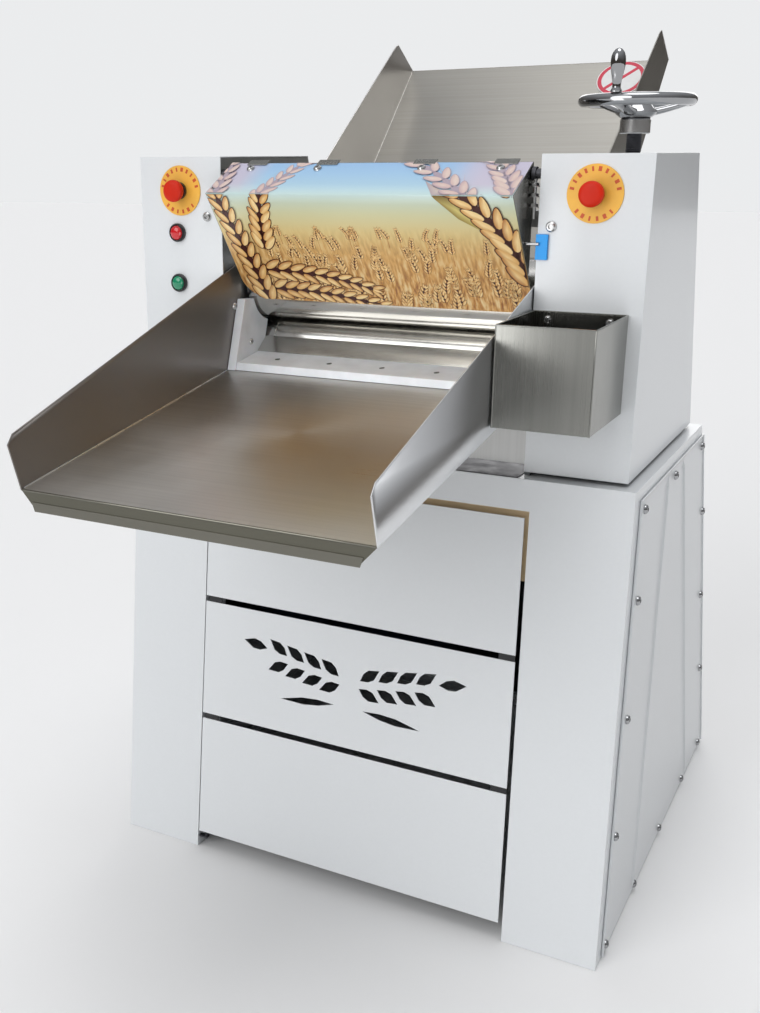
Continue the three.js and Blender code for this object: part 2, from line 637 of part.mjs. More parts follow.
function cheek(name, side) {
  const radius = 70;
  const start = Math.atan2(1139 - UPPER.z, 76 - UPPER.y);
  const end = Math.atan2(1094 - UPPER.z, 129 - UPPER.y);
  const arc = Array.from({ length: 9 }, (_, i) => {
    const turn = start < 0 ? start : start - 2 * Math.PI;
    const angle = turn + ((end - turn) * i) / 8;
    return [UPPER.y + radius * Math.cos(angle), UPPER.z + radius * Math.sin(angle)];
  });
  const outlinePoints = [
    [0, trayFloor(0) + STEEL + 0.5], [98, trayFloor(98) + STEEL + 0.5], [112, 1037], ...arc.reverse(), [43, 1141],
  ];
  add(name, acrossX(outlinePoints, side, CHEEK_INNER, GAP / 2 - 4.3), 'nylon');
}

function outlet() {
  const floor = (y, above) => [y, trayFloor(y) + STEEL + above];
  const inner = CHEEK_INNER - FIT;
  add('lead_plate', alongX([floor(3, 0.5), floor(96, 0.5), floor(106, 14), floor(8, 14)], -inner, inner), 'nylon');
  add('scraper_blade', alongX([floor(84, 14.3), floor(101, 14.3), [122.5, 1061], [120, 1062.5]], -inner, inner), 'stainless');
  add('front_apron', alongX(folded([[30, 895], [12, 893], [12, 1003]], STEEL), -GAP / 2 + 0.5, GAP / 2 - 0.5), 'stainless');
}

// ---- trays and flour box ------------------------------------------------------
function frontTray() {
  const front = -595;
  const back = 58;
  const side = [
    [front, trayFloor(front)], [back, trayFloor(back)], [back, 1203], [40, 1203], [TRAY_FRONT + 12, 1009], [TRAY_FRONT, 995],
  ];
  const sheet = alongX(folded([[front, trayFloor(front)], [100, trayFloor(100)]], STEEL), -TRAY_SIDE, TRAY_SIDE);
  const lip = alongY([[-270, 890], [270, 890], [TRAY_SIDE, trayFloor(front) + 1], [-TRAY_SIDE, trayFloor(front) + 1]],
    front, front + STEEL);
  add('front_tray', join(
    sheet,
    lip,
    acrossX(side, -1, TRAY_SIDE - STEEL, TRAY_SIDE),
    acrossX(side, 1, TRAY_SIDE - STEEL, TRAY_SIDE),
  ), 'stainless');
}

function rearTray() {
  const floor = [[240, 1096], [432, 1160], [868, 1590]];
  const side = [...floor, [780, 1641], [767, 1636], [300, 1309], [250, 1262], [250, 1100]];
  add('rear_tray', join(
    alongX(folded(floor, STEEL), -TRAY_SIDE, TRAY_SIDE),
    acrossX(side, -1, TRAY_SIDE - STEEL, TRAY_SIDE),
    acrossX(side, 1, TRAY_SIDE - STEEL, TRAY_SIDE),
  ), 'stainless');
}

function flourBox() {
  const { left, right, front, bottom, top } = FLOUR_BOX;
  add('flour_box', cut(
    box(left, right, front, -0.4, bottom, top),
    box(left + STEEL, right - STEEL, front + STEEL, -0.4 - STEEL, bottom + STEEL, top + 5),
  ), 'stainless');
}

// ---- operators ------------------------------------------------------------------
function emergencyStop(side, where) {
  const x = side * ESTOP.x;
  const z = ESTOP.z;
  add(`estop_${where}_legend`, turnedY(ring(BARREL + FIT, ESTOP.disc, -2.3, -FIT), x, 0, z, 40), 'yellow');
  add(`estop_${where}_body`, turnedY([
    [8.4, -9], [15.5, -9], [15.5, -2.6], [BARREL, -2.6], [BARREL, SHEET + FIT], [16, SHEET + FIT],
    [16, 50], [0, 50], [0, 36], [8.4, 36], [8.4, -9],
  ], x, 0, z, 24), 'black');
  add(`estop_${where}_head`, turnedY([
    [0, -32], [10, -31], [17, -27], [ESTOP.head, -21], [ESTOP.head, -17], [14, -14], [8, -14], [8, 30], [0, 30],
  ], x, 0, z, 28), 'red');
}

function pushButton(colour, z) {
  add(`button_${colour}_bezel`, turnedY([
    [6.4, -2], [BUTTON.cap + 0.4, -2], [BUTTON.cap + 0.4, -9], [BUTTON.bezel - 2, -9], [BUTTON.bezel, -6],
    [BUTTON.bezel, -FIT], [BARREL, -FIT], [BARREL, SHEET + FIT], [15, SHEET + FIT], [15, 40], [0, 40], [0, 30],
    [6.4, 30], [6.4, -2],
  ], BUTTON.x, 0, z, 24), 'black');
  add(`button_${colour}_cap`, turnedY([
    [0, -13], [8, -12.5], [BUTTON.cap, -10.5], [BUTTON.cap, -6], [6, -6], [6, 26], [0, 26],
  ], BUTTON.x, 0, z, 24), colour);
}

// ---- assembly ---------------------------------------------------------------------
baseFrame();
rearCover();
door();
doorFurniture();
for (const [where, side] of [['left', -1], ['right', 1]]) {
  sideCover(`side_cover_${where}`, side);
  housing(`housing_${where}`, side);
  sidePlate(`side_plate_${where}`, side);
  lowerBearing(`bearing_lower_${where}`, side);
  upperBearing(`bearing_upper_${where}`, side);
  guardPivot(`guard_pivot_${where}`, side);
  cheek(`cheek_${where}`, side);
  emergencyStop(side, where);
}
roller('roller_upper', UPPER, 380, 328);
roller('roller_lower', LOWER, 425, 345, [33]);
gears();
drive();
shelf();
lift();
handwheel();
guard();
add('interlock_tab', box(299.5, 319, -6, -0.3, 1237, 1277), 'blue');
outlet();
frontTray();
rearTray();
flourBox();
pushButton('red', BUTTON.red);
pushButton('green', BUTTON.green);

export default root;
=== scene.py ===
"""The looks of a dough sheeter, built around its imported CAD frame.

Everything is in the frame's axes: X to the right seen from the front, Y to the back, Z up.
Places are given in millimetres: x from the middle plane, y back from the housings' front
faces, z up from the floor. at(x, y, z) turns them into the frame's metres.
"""
import math
import random

import bmesh
import bpy
from mathutils import Matrix, Vector


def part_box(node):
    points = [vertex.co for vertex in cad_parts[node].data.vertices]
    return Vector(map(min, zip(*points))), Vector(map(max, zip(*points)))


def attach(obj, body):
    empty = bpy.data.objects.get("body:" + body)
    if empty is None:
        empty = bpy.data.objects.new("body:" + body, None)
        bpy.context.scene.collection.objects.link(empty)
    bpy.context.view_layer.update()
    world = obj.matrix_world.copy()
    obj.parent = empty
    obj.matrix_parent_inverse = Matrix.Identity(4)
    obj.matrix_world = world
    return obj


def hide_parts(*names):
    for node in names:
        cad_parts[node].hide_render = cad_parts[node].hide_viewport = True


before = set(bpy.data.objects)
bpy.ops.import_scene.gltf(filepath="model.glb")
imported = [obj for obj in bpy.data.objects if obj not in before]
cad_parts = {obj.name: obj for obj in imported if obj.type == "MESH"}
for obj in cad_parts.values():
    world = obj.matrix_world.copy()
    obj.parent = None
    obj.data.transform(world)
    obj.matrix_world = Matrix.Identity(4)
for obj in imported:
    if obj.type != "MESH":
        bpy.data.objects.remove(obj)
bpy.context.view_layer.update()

MM = 0.001
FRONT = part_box("housing_left")[0].y
X_AXIS = Vector((1, 0, 0))
Y_AXIS = Vector((0, 1, 0))
Z_AXIS = Vector((0, 0, 1))
SHARP = math.radians(32)         # edges sharper than this are rounded and shaded as edges


def at(x, y, z):
    """A place given in mm as a place in the frame."""
    return Vector((x * MM, FRONT + y * MM, z * MM))


def rectangle(low_a, high_a, low_b, high_b):
    """The corners of a rectangle as pairs, going round it."""
    return (low_a, low_b), (high_a, low_b), (high_a, high_b), (low_a, high_b)


def circle(count):
    """Angles evenly round a circle."""
    return [2 * math.pi * i / count for i in range(count)]


def spin(first, second, angle):
    """The first direction turned towards the second by an angle."""
    return first * math.cos(angle) + second * math.sin(angle)


# ---- camera, floor and light
CAMERA_PLACE = at(884, -1885, 1398)
CAMERA_YAW = math.radians(29.06)
CAMERA_PITCH = math.radians(-18.28)
CAMERA_ROLL = math.radians(-0.47)
CAMERA_LENS = 41.24
CAMERA_SHIFT = (0.09, 0.0335)


def make_camera():
    forward = Vector((
        -math.sin(CAMERA_YAW) * math.cos(CAMERA_PITCH),
        math.cos(CAMERA_YAW) * math.cos(CAMERA_PITCH),
        math.sin(CAMERA_PITCH),
    ))
    right = forward.cross(Z_AXIS).normalized()
    up = right.cross(forward)
    turn = Matrix.Rotation(CAMERA_ROLL, 3, forward)
    right, up = turn.inverted() @ right, turn.inverted() @ up
    data = bpy.data.cameras.new("camera")
    data.lens = CAMERA_LENS
    data.shift_x, data.shift_y = CAMERA_SHIFT
    camera = bpy.data.objects.new("camera", data)
    bpy.context.collection.objects.link(camera)
    axes = Matrix((right, up, -forward)).transposed()
    camera.matrix_world = Matrix.Translation(CAMERA_PLACE) @ axes.to_4x4()
    bpy.context.scene.camera = camera


WIDE_SUN = math.radians(40)      # how wide each sun is, for soft shadows
SUNS = {
    # name: (place, strength)
    "key_sun": (at(-1300, -3500, 2700), 0.85),
    "top_sun": (at(300, -300, 4500), 1.0),
    "rear_sun": (at(-900, 4000, 2600), 0.6),
    "low_sun": (at(250, -4000, 1150), 0.6),
}
LIT_POINT = at(0, 0, 900)


def light(name, kind, place, power, **settings):
    """A lamp at a place, aimed at the middle of the machine."""
    data = bpy.data.lights.new(name, kind)
    data.energy = power
    for key, value in settings.items():
        setattr(data, key, value)
    lamp = bpy.data.objects.new(name, data)
    bpy.context.collection.objects.link(lamp)
    lamp.location = place
    lamp.rotation_euler = (LIT_POINT - place).to_track_quat("-Z", "Y").to_euler()
    return lamp


def make_lights():
    for name, (place, strength) in SUNS.items():
        sun = light(name, "SUN", place, strength, angle=WIDE_SUN)
        sun.visible_glossy = name != "low_sun"    # that one only fills the shade under the front tray
    light("roller_panel", "AREA", at(20, -560, 1130), 1.1, size=0.4)


STUDIO = [
    # share of the way from the horizon to overhead, colour
    (0.0, (0.16, 0.145, 0.13)), (0.16, (0.06, 0.053, 0.046)), (0.34, (0.13, 0.122, 0.112)),
    (0.58, (0.27, 0.272, 0.28)), (1.0, (0.62, 0.63, 0.65)),
]
BACKGROUND = (0.83, 0.84, 0.85)
CLOUD_SIZE = 1.6
CLOUD_SHARE = 0.25               # how far the clouds shift the height


def make_world():
    """Bright above and dim at eye level, so that steel has something to show; plain to the camera."""
    world = bpy.data.worlds.new("studio")
    world.use_nodes = True
    tree = Nodes(world.node_tree)
    direction = tree.node("ShaderNodeTexCoord").outputs["Generated"]
    split = tree.node("ShaderNodeSeparateXYZ", {"Vector": direction})
    clouds = tree.node("ShaderNodeTexNoise", {"Vector": direction, "Scale": CLOUD_SIZE, "Detail": 1.0})
    height = tree.multiply(clouds.outputs["Fac"], CLOUD_SHARE, split.outputs["Z"])
    lit = tree.nodes["Background"]
    tree.link(tree.ramp(height, STUDIO, "B_SPLINE"), lit.inputs["Color"])
    plain = tree.node("ShaderNodeBackground", {"Color": (*BACKGROUND, 1)})
    seen = tree.node("ShaderNodeLightPath").outputs["Is Camera Ray"]
    choose = tree.node("ShaderNodeMixShader", {
        "Fac": seen, 1: lit.outputs["Background"], 2: plain.outputs["Background"]})
    tree.link(choose.outputs["Shader"], tree.nodes["World Output"].inputs["Surface"])
    bpy.context.scene.world = world
    bpy.context.scene.view_settings.view_transform = "Standard"


FLOOR_HALF = 30                  # metres
FLOOR_LEVEL = -0.0005            # metres, just under the machine's foot


def make_floor():
    mesh = bpy.data.meshes.new("floor")
    square = rectangle(-FLOOR_HALF, FLOOR_HALF, -FLOOR_HALF, FLOOR_HALF)
    mesh.from_pydata([(x, y, FLOOR_LEVEL) for x, y in square], [], [(0, 1, 2, 3)])
    floor = bpy.data.objects.new("floor", mesh)
    bpy.context.collection.objects.link(floor)
    floor.data.materials.append(Surface("floor", (0.88, 0.88, 0.88), 0.9, Specular_IOR_Level=0.0).material)


# ---- materials
class Nodes:
    """Short ways to add nodes to a tree."""

    def __init__(self, tree):
        self.nodes = tree.nodes
        self.link = tree.links.new

    def node(self, kind, inputs=None, **settings):
        """Adds a node; an input that is a socket is linked and any other value is set."""
        made = self.nodes.new(kind)
        for key, value in settings.items():
            setattr(made, key, value)
        for key, value in (inputs or {}).items():
            if isinstance(value, bpy.types.NodeSocket):
                self.link(value, made.inputs[key])
            else:
                made.inputs[key].default_value = value
        return made

    def multiply(self, factor, share, add=0.0):
        """A factor times a share, with something added on."""
        product = self.node("ShaderNodeMath", {0: factor, 1: share, 2: add}, operation="MULTIPLY_ADD")
        return product.outputs["Value"]

    def ramp(self, factor, stops, curve="LINEAR"):
        """Colours along a factor: stops are (position, (r, g, b))."""
        ramp = self.node("ShaderNodeValToRGB", {"Fac": factor})
        ramp.color_ramp.interpolation = curve
        elements = ramp.color_ramp.elements
        while len(elements) < len(stops):
            elements.new(0.5)
        for element, (position, colour) in zip(elements, stops):
            element.position = position
            element.color = (*colour, 1)
        return ramp.outputs["Color"]

    def range(self, factor, low, high, start=0.25, end=0.75, curve="LINEAR"):
        """Turns a factor between start and end into a value between low and high."""
        limits = {"From Min": start, "From Max": end, "To Min": low, "To Max": high}
        spread = self.node("ShaderNodeMapRange", {"Value": factor, **limits}, interpolation_type=curve)
        return spread.outputs["Result"]


class Surface(Nodes):
    """A Principled material and the texture nodes that feed it, all in object coordinates."""

    def __init__(self, name, colour, roughness, metallic=0.0, **sockets):
        self.material = bpy.data.materials.new(name)
        self.material.use_nodes = True
        super().__init__(self.material.node_tree)
        self.inputs = self.nodes["Principled BSDF"].inputs
        sockets.update({"Base Color": (*colour, 1), "Roughness": roughness, "Metallic": metallic})
        for socket, value in sockets.items():
            self.inputs[socket.replace("_", " ")].default_value = value
        self.coordinates = None

    def place(self, stretch=(1, 1, 1), centre=(0, 0, 0)):
        """Object coordinates from a centre, stretched along each axis."""
        if self.coordinates is None:
            self.coordinates = self.node("ShaderNodeTexCoord").outputs["Object"]
        shift = [-a * b for a, b in zip(stretch, centre)]
        sockets = {"Vector": self.coordinates, "Scale": stretch, "Location": shift}
        return self.node("ShaderNodeMapping", sockets).outputs["Vector"]

    def noise(self, scale, detail=2.0, stretch=(1, 1, 1)):
        sockets = {"Vector": self.place(stretch), "Scale": scale, "Detail": detail}
        return self.node("ShaderNodeTexNoise", sockets).outputs["Fac"]

    def colour(self, source):
        self.link(source, self.inputs["Base Color"])
        return self

    def roughness(self, factor, low, high):
        self.link(self.range(factor, low, high), self.inputs["Roughness"])
        return self

    def mix(self, factor, below, above):
        """Colours the surface with two colours mixed by a factor."""
        mixer = self.node("ShaderNodeMix", {"Factor": factor, "A": below, "B": above}, data_type="RGBA")
        return self.colour(mixer.outputs["Result"])

    def tint(self, colour, centre, squeeze, start, end):
        """Mixes a colour in round a centre, fading out between two distances in mm."""
        distance = self.node("ShaderNodeVectorMath", {0: self.place(squeeze, centre)}, operation="LENGTH")
        fade = self.range(distance.outputs["Value"], 1.0, 0.0, start * MM, end * MM, "SMOOTHERSTEP")
        return self.mix(fade, self.inputs["Base Color"].links[0].from_socket, (*colour, 1))

    def bump(self, *layers):
        """Layers of (height, strength, distance in mm), the first one lowest."""
        below = {}
        for height, strength, distance in layers:
            sockets = {"Height": height, "Strength": strength, "Distance": distance * MM, **below}
            below = {"Normal": self.node("ShaderNodeBump", sockets).outputs["Normal"]}
        self.link(below["Normal"], self.inputs["Normal"])
        return self


def shade(colour, share):
    """A colour made darker or lighter by a share."""
    return tuple(share * value for value in colour)


def powder_coat(name, colour, roughness=0.28):
    surface = Surface(name, colour, roughness, Coat_Weight=0.3, Coat_Roughness=0.1)
    surface.colour(surface.ramp(surface.noise(160, 2), [(0.0, shade(colour, 0.97)), (1.0, colour)]))
    return surface.bump((surface.noise(420, 2), 0.05, 0.2))


def brushed(name, colour, roughness, along):
    """Sheet steel brushed along one axis, with soft smudges."""
    fine = [900.0 if axis != along else 6.0 for axis in "xyz"]
    coarse = [190.0 if axis != along else 2.0 for axis in "xyz"]
    surface = Surface(name, colour, roughness, 1.0, Anisotropic=0.4)
    streaks = surface.noise(1.0, 3, fine)
    bands = surface.noise(1.0, 2, coarse)
    surface.colour(surface.ramp(bands, [(0.3, shade(colour, 0.94)), (0.7, shade(colour, 1.03))]))
    rubbed = surface.multiply(surface.noise(5.0, 4), 0.6, surface.multiply(streaks, 0.4))
    surface.roughness(rubbed, roughness - 0.09, roughness + 0.12)
    return surface.bump((surface.noise(3.0, 1), 0.12, 5.0), (streaks, 0.10, 0.15))


def tray_steel():
    """The front tray: a painted warm reflection on its floor, the lip darker, painted shade inside one side
    and a painted bright reflection outside the other.
    """
    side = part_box("front_tray")[1].x / MM
    surface = brushed("stainless_front_tray", STAINLESS, 0.34, "x")
    # painted reflection: a warm patch on the floor
    surface.tint((0.33, 0.305, 0.288), at(190, -340, 960), (1, 1, 1), 0, 330)
    surface.tint((0.16, 0.155, 0.125), at(0, -595, 905), (0, 1, 0), 0.8, 3)
    # painted shade: the left side darker inside
    surface.tint((0.27, 0.25, 0.235), at(STEEL - side, 0, 0), (1, 0, 0), 0.3, 1.2)
    # painted reflection: the right side bright outside
    return surface.tint((0.80, 0.81, 0.82), at(side, 0, 0), (1, 0, 0), 0.3, 1.2)


def rear_tray_steel():
    """The rear tray, with a painted bright reflection inside its left side."""
    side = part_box("rear_tray")[1].x / MM
    surface = brushed("stainless_brushed_rear", (0.34, 0.328, 0.302), 0.36, "x")
    # painted reflection: the left side bright inside
    return surface.tint((0.82, 0.80, 0.77), at(STEEL - side, 0, 0), (1, 0, 0), 0.3, 1.2)


def plastic(name, colour, roughness, grain=900.0, depth=0.08, **sockets):
    surface = Surface(name, colour, roughness, **sockets)
    surface.colour(surface.ramp(surface.noise(30.0, 3), [(0.3, shade(colour, 0.88)), (0.7, colour)]))
    surface.roughness(surface.noise(60.0, 3), roughness - 0.04, roughness + 0.08)
    return surface.bump((surface.noise(grain, 2), depth, 0.2))


def oiled_steel(name, colour, roughness):
    surface = Surface(name, colour, roughness, 1.0)
    patches = surface.noise(40.0, 5)
    surface.colour(surface.ramp(patches, [(0.35, shade(colour, 0.6)), (0.65, colour)]))
    surface.roughness(patches, roughness - 0.1, roughness + 0.15)
    return surface.bump((surface.noise(500, 3), 0.15, 0.2))


def turned_steel(name, colour, roughness):
    """Rings of a lathe tool, which run round X and change along it."""
    surface = Surface(name, colour, roughness, 1.0)
    rings = surface.noise(1.0, 3, (1500.0, 2.0, 2.0))
    surface.colour(surface.ramp(surface.noise(7.0, 3), [(0.3, shade(colour, 0.9)), (0.7, colour)]))
    surface.roughness(surface.noise(14.0, 3), roughness - 0.05, roughness + 0.08)
    return surface.bump((rings, 0.06, 0.1))


def polished_chrome(name, colour, roughness):
    surface = Surface(name, colour, roughness, 1.0)
    surface.roughness(surface.noise(35.0, 4), 0.03, 0.13)
    return surface.bump((surface.noise(60.0, 2), 0.04, 0.6))


WHITE = (0.77, 0.795, 0.815)
STAINLESS = (0.53, 0.51, 0.48)
STEEL = 1.5                      # thickness of the trays' sheet, mm
SHEET = 2                        # thickness of the painted sheet, mm


def make_materials():
    surfaces = {
        "white": powder_coat("white_paint", WHITE),
        # painted shade: the side covers' white a little darker than the rest, for the shade on the machine's
        # sides
        "cover_white_painted_shade": powder_coat("cover_paint_painted_shade", shade(WHITE, 0.88)),
        "tray": tray_steel(),
        "tray_side": rear_tray_steel(),
        # painted shade: the flour box's and guard's steel darker than the trays', for a darker reflection
        "upright": brushed("stainless_brushed_upright", (0.29, 0.29, 0.27), 0.24, "z"),
        "apron": brushed("stainless_apron", (0.50, 0.50, 0.49), 0.36, "z"),
        "roller": turned_steel("roller_steel", (0.68, 0.67, 0.64), 0.16),
        "plate": brushed("ground_plate", (0.30, 0.31, 0.32), 0.38, "z"),
        "dark": oiled_steel("dark_steel", (0.10, 0.10, 0.11), 0.42),
        "steel": oiled_steel("machined_steel", (0.42, 0.42, 0.42), 0.34),
        "chrome": polished_chrome("chrome", (0.38, 0.385, 0.395), 0.06),
        "nylon": plastic("white_nylon", (0.80, 0.82, 0.86), 0.42, 250.0, 0.12, Subsurface_Weight=0.08),
        "black": plastic("black_plastic", (0.018, 0.018, 0.02), 0.35),
        "yellow": plastic("legend_yellow", (0.92, 0.50, 0.07), 0.38),
        "orange": plastic("legend_orange", (0.62, 0.09, 0.02), 0.4),
        "red": plastic("button_red", (0.66, 0.02, 0.003), 0.42, 900.0, 0.03, Specular_IOR_Level=0.25),
        "lens_red": plastic("lens_red", (0.66, 0.008, 0.014), 0.12, 700.0, 0.04, Coat_Weight=1.0),
        "lens_green": plastic("lens_green", (0.004, 0.27, 0.13), 0.12, 700.0, 0.04, Coat_Weight=1.0),
        "blue": plastic("tab_blue", (0.0, 0.36, 0.95), 0.35),
        "tan": plastic("seal_tan", (0.95, 0.73, 0.45), 0.7, 300.0, 0.3),
        "motor": powder_coat("motor_enamel", (0.035, 0.09, 0.19), 0.4),
        "bright": turned_steel("zinc_screws", (0.62, 0.62, 0.62), 0.25),
        "sign_white": plastic("sign_white", (0.80, 0.80, 0.80), 0.35),
        "sign_red": plastic("sign_red", (0.62, 0.02, 0.06), 0.35),
        "picture": picture_surface(),
        "ink": ink_surface(),
    }
    return {name: surface.material for name, surface in surfaces.items()}


PAINTED = ["base_frame", "rear_cover", "door_frame", "door_panel_bottom", "door_panel_middle",
           "door_panel_top", "side_cover_left", "side_cover_right", "housing_left", "housing_right"]
FINISHES = {
    "white": PAINTED,
    "tray": ["front_tray"],
    "tray_side": ["rear_tray"],
    "upright": ["flour_box", "guard"],
    "apron": ["front_apron"],
    "roller": ["roller_upper", "roller_lower", "scraper_blade"],
    "plate": ["side_plate_left", "side_plate_right", "motor_shelf"],
    "steel": ["gear_lower", "gear_upper", "roller_sprocket", "drive_sprocket", "lift_crossbar", "lift_nut"],
    "dark": ["door_pin_lower", "door_pin_upper", "bearing_lower_left", "bearing_lower_right",
             "bearing_upper_left", "bearing_upper_right", "guard_pivot_left", "guard_pivot_right",
             "drive_chain", "lift_screw"],
    "chrome": ["handwheel", "crank_knob", "latch_pin"],
    "nylon": ["cheek_left", "cheek_right", "lead_plate"],
    "black": ["estop_left_body", "estop_right_body", "button_red_bezel", "button_green_bezel"],
    "yellow": ["estop_left_legend", "estop_right_legend"],
    "red": ["estop_left_head", "estop_right_head"],
    "lens_red": ["button_red_cap"],
    "lens_green": ["button_green_cap"],
    "blue": ["interlock_tab"],
    "tan": ["door_seal"],
    "motor": ["motor", "reducer", "control_box"],
}
WELD_WITHIN = 0.01               # points closer than this are one, mm
FLAT_WITHIN = math.radians(0.3)  # faces closer to flat than this are one
ROUND_STEPS = 2                  # faces across a rounded edge
EDGE_DEFAULT = 0.5               # rounding of an edge, mm
PIERCED = ("door_panel_middle", "rear_cover")    # sheets with many holes keep their triangles
EDGES = {
    "roller_upper": 0.8, "roller_lower": 0.8, "handwheel": 0.3, "motor": 1.5, "reducer": 3.0,
    "control_box": 2.0, "lift_crossbar": 1.5, "base_frame": 0.9, "housing_left": 1.6,
    "housing_right": 1.6, "cheek_left": 1.0, "cheek_right": 1.0, "lead_plate": 1.0,
}


def dress(node, finish):
    """Gives a CAD node its material, and rounds its edges by modifiers only."""
    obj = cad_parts[node]
    mesh = obj.data
    mesh.materials.clear()
    mesh.materials.append(MATERIALS[finish])
    if mesh.has_custom_normals:
        mesh.attributes.remove(mesh.attributes["custom_normal"])
    mesh.shade_smooth()
    weld = obj.modifiers.new("weld", "WELD")
    weld.merge_threshold = WELD_WITHIN * MM
    if node not in PIERCED:
        flat = obj.modifiers.new("flat", "DECIMATE")
        flat.decimate_type = "DISSOLVE"
        flat.angle_limit = FLAT_WITHIN
    round_edges(obj, EDGES.get(node, EDGE_DEFAULT))


def round_edges(obj, width):
    bevel = obj.modifiers.new("round", "BEVEL")
    bevel.width = width * MM
    bevel.segments = ROUND_STEPS
    bevel.limit_method = "ANGLE"
    bevel.angle_limit = SHARP
    bevel.miter_outer = "MITER_ARC"
    normals = obj.modifiers.new("normals", "WEIGHTED_NORMAL")
    normals.keep_sharp = True


# ---- mesh kit
def piece(bm, name, body, finish, closed=True):
    """Turns a bmesh into a piece that rides on a body, in one of the materials."""
    if closed:
        bmesh.ops.recalc_face_normals(bm, faces=bm.faces[:])
    for face in bm.faces:
        face.smooth = True
    for edge in bm.edges:
        edge.smooth = edge.calc_face_angle(0.0) < SHARP
    mesh = bpy.data.meshes.new(name)
    bm.to_mesh(mesh)
    bm.free()
    mesh.materials.append(MATERIALS[finish])
    obj = bpy.data.objects.new(name, mesh)
    bpy.context.collection.objects.link(obj)
    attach(obj, body)
    return obj


def frame_of(axis):
    """Two directions square to an axis and to each other."""
    along = Vector(axis).normalized()
    side = along.cross(X_AXIS if abs(along.x) < 0.9 else Y_AXIS).normalized()
    return along, side, along.cross(side)


def lathe(bm, profile, origin, axis, segments=40, six_sided=()):
    """Turns (radius, height) pairs in mm about an axis; a radius of 0 closes an end.

    The rings whose numbers are in six_sided are hexagons with the given radius at their flats.
    """
    along, side, other = frame_of(axis)
    rings = []
    for number, (radius, height) in enumerate(profile):
        centre = origin + along * height * MM
        if radius == 0:
            rings.append([bm.verts.new(centre)])
            continue
        ring = []
        for angle in circle(segments):
            reach = radius * MM
            if number in six_sided:
                reach /= math.cos((angle + math.pi / 6) % (math.pi / 3) - math.pi / 6)
            ring.append(bm.verts.new(centre + spin(side, other, angle) * reach))
        rings.append(ring)
    for low, high in zip(rings, rings[1:]):
        bridge(bm, low, high)


def bridge(bm, low, high):
    """Faces between two closed rings, either of which may be a single point."""
    count = max(len(low), len(high))
    for i in range(count):
        j = (i + 1) % count
        corners = [low[i % len(low)], low[j % len(low)], high[j % len(high)], high[i % len(high)]]
        bm.faces.new(list(dict.fromkeys(corners)))


def bar(bm, points, offset):
    """A flat outline of points carried along an offset."""
    low = [bm.verts.new(point) for point in points]
    high = [bm.verts.new(point + offset) for point in points]
    bm.faces.new(low[::-1])
    bm.faces.new(high)
    for i, corner in enumerate(low):
        j = (i + 1) % len(low)
        bm.faces.new((corner, low[j], high[j], high[i]))


TUBE_SIDES = 10


def tube(bm, points, radius):
    """A round bead along a path of points."""
    rings = []
    for i, point in enumerate(points):
        before = points[max(i - 1, 0)]
        after = points[min(i + 1, len(points) - 1)]
        _, side, other = frame_of(after - before)
        ring = [point + spin(side, other, angle) * radius * MM for angle in circle(TUBE_SIDES)]
        rings.append([bm.verts.new(corner) for corner in ring])
    for low, high in zip(rings, rings[1:]):
        bridge(bm, low, high)
    bm.faces.new(rings[0][::-1])
    bm.faces.new(rings[-1])


def bead(bm, half, y, z, radius):
    """A straight round bead across the machine."""
    tube(bm, [at(-half, y, z), at(half, y, z)], radius)


def washer(bm, radii, heights, place, axis, segments):
    """A flat ring between two radii and two heights, in mm."""
    section = rectangle(*radii, *heights)
    lathe(bm, [*section, section[0]], place, axis, segments)


def sheet(bm, outer_points, inner_points):
    """A closed sheet between two grids of points."""
    outer, inner = [[[bm.verts.new(point) for point in column] for column in grid]
                    for grid in (outer_points, inner_points)]
    last, rows = len(outer) - 1, len(outer[0])
    for c in range(last):
        for r in range(rows - 1):
            bm.faces.new((outer[c][r], outer[c][r + 1], outer[c + 1][r + 1], outer[c + 1][r]))
            bm.faces.new((inner[c][r], inner[c + 1][r], inner[c + 1][r + 1], inner[c][r + 1]))
    loop = [(c, 0) for c in range(last + 1)] + [(last, r) for r in range(1, rows)]
    loop += [(c, rows - 1) for c in range(last - 1, -1, -1)] + [(0, r) for r in range(rows - 2, 0, -1)]
    for (c0, r0), (c1, r1) in zip(loop, loop[1:] + loop[:1]):
        bm.faces.new((outer[c0][r0], outer[c1][r1], inner[c1][r1], inner[c0][r0]))


# ---- fasteners
SCREW_SIDES = 24
# (share of the radius, share of the height) round each profile
DOME = [(0, 0.45), (0.42, 0.45), (0.42, 1), (0.66, 0.97), (0.86, 0.72), (0.98, 0.34), (1, 0), (0, 0)]
DOME_PIT = (1, 2)                # its six-sided rings
HEX_WASHER = [(0, 0.2), (1.25, 0.2), (1.25, 0), (0, 0)]
HEX_HEAD = [(0, 0.95), (0.78, 0.95), (0.87, 0.82), (0.87, 0.2), (0, 0.2)]
HEX_FLATS = (2, 3)


def scaled(profile, radius, height):
    """A profile of shares as (radius, height) in mm."""
    return [(a * radius, b * height) for a, b in profile]


def button_screw(bm, place, normal, radius, height=None):
    """A domed head with a six-sided pit, standing on a surface."""
    height = height or 0.55 * radius
    lathe(bm, scaled(DOME, radius, height), place, normal, SCREW_SIDES, DOME_PIT)


def hex_screw(bm, place, normal, radius):
    """A six-sided head on its washer."""
    lathe(bm, scaled(HEX_WASHER, radius, radius), place, normal, SCREW_SIDES)
    lathe(bm, scaled(HEX_HEAD, radius, radius), place, normal, SCREW_SIDES, HEX_FLATS)


def screw_piece(name, spots, radius, height, finish="bright", body="machine"):
    """Button screws of one size as a piece; each spot is a place and the way it faces."""
    bm = bmesh.new()
    for place, normal in spots:
        button_screw(bm, place, normal, radius, height)
    piece(bm, name, body, finish)


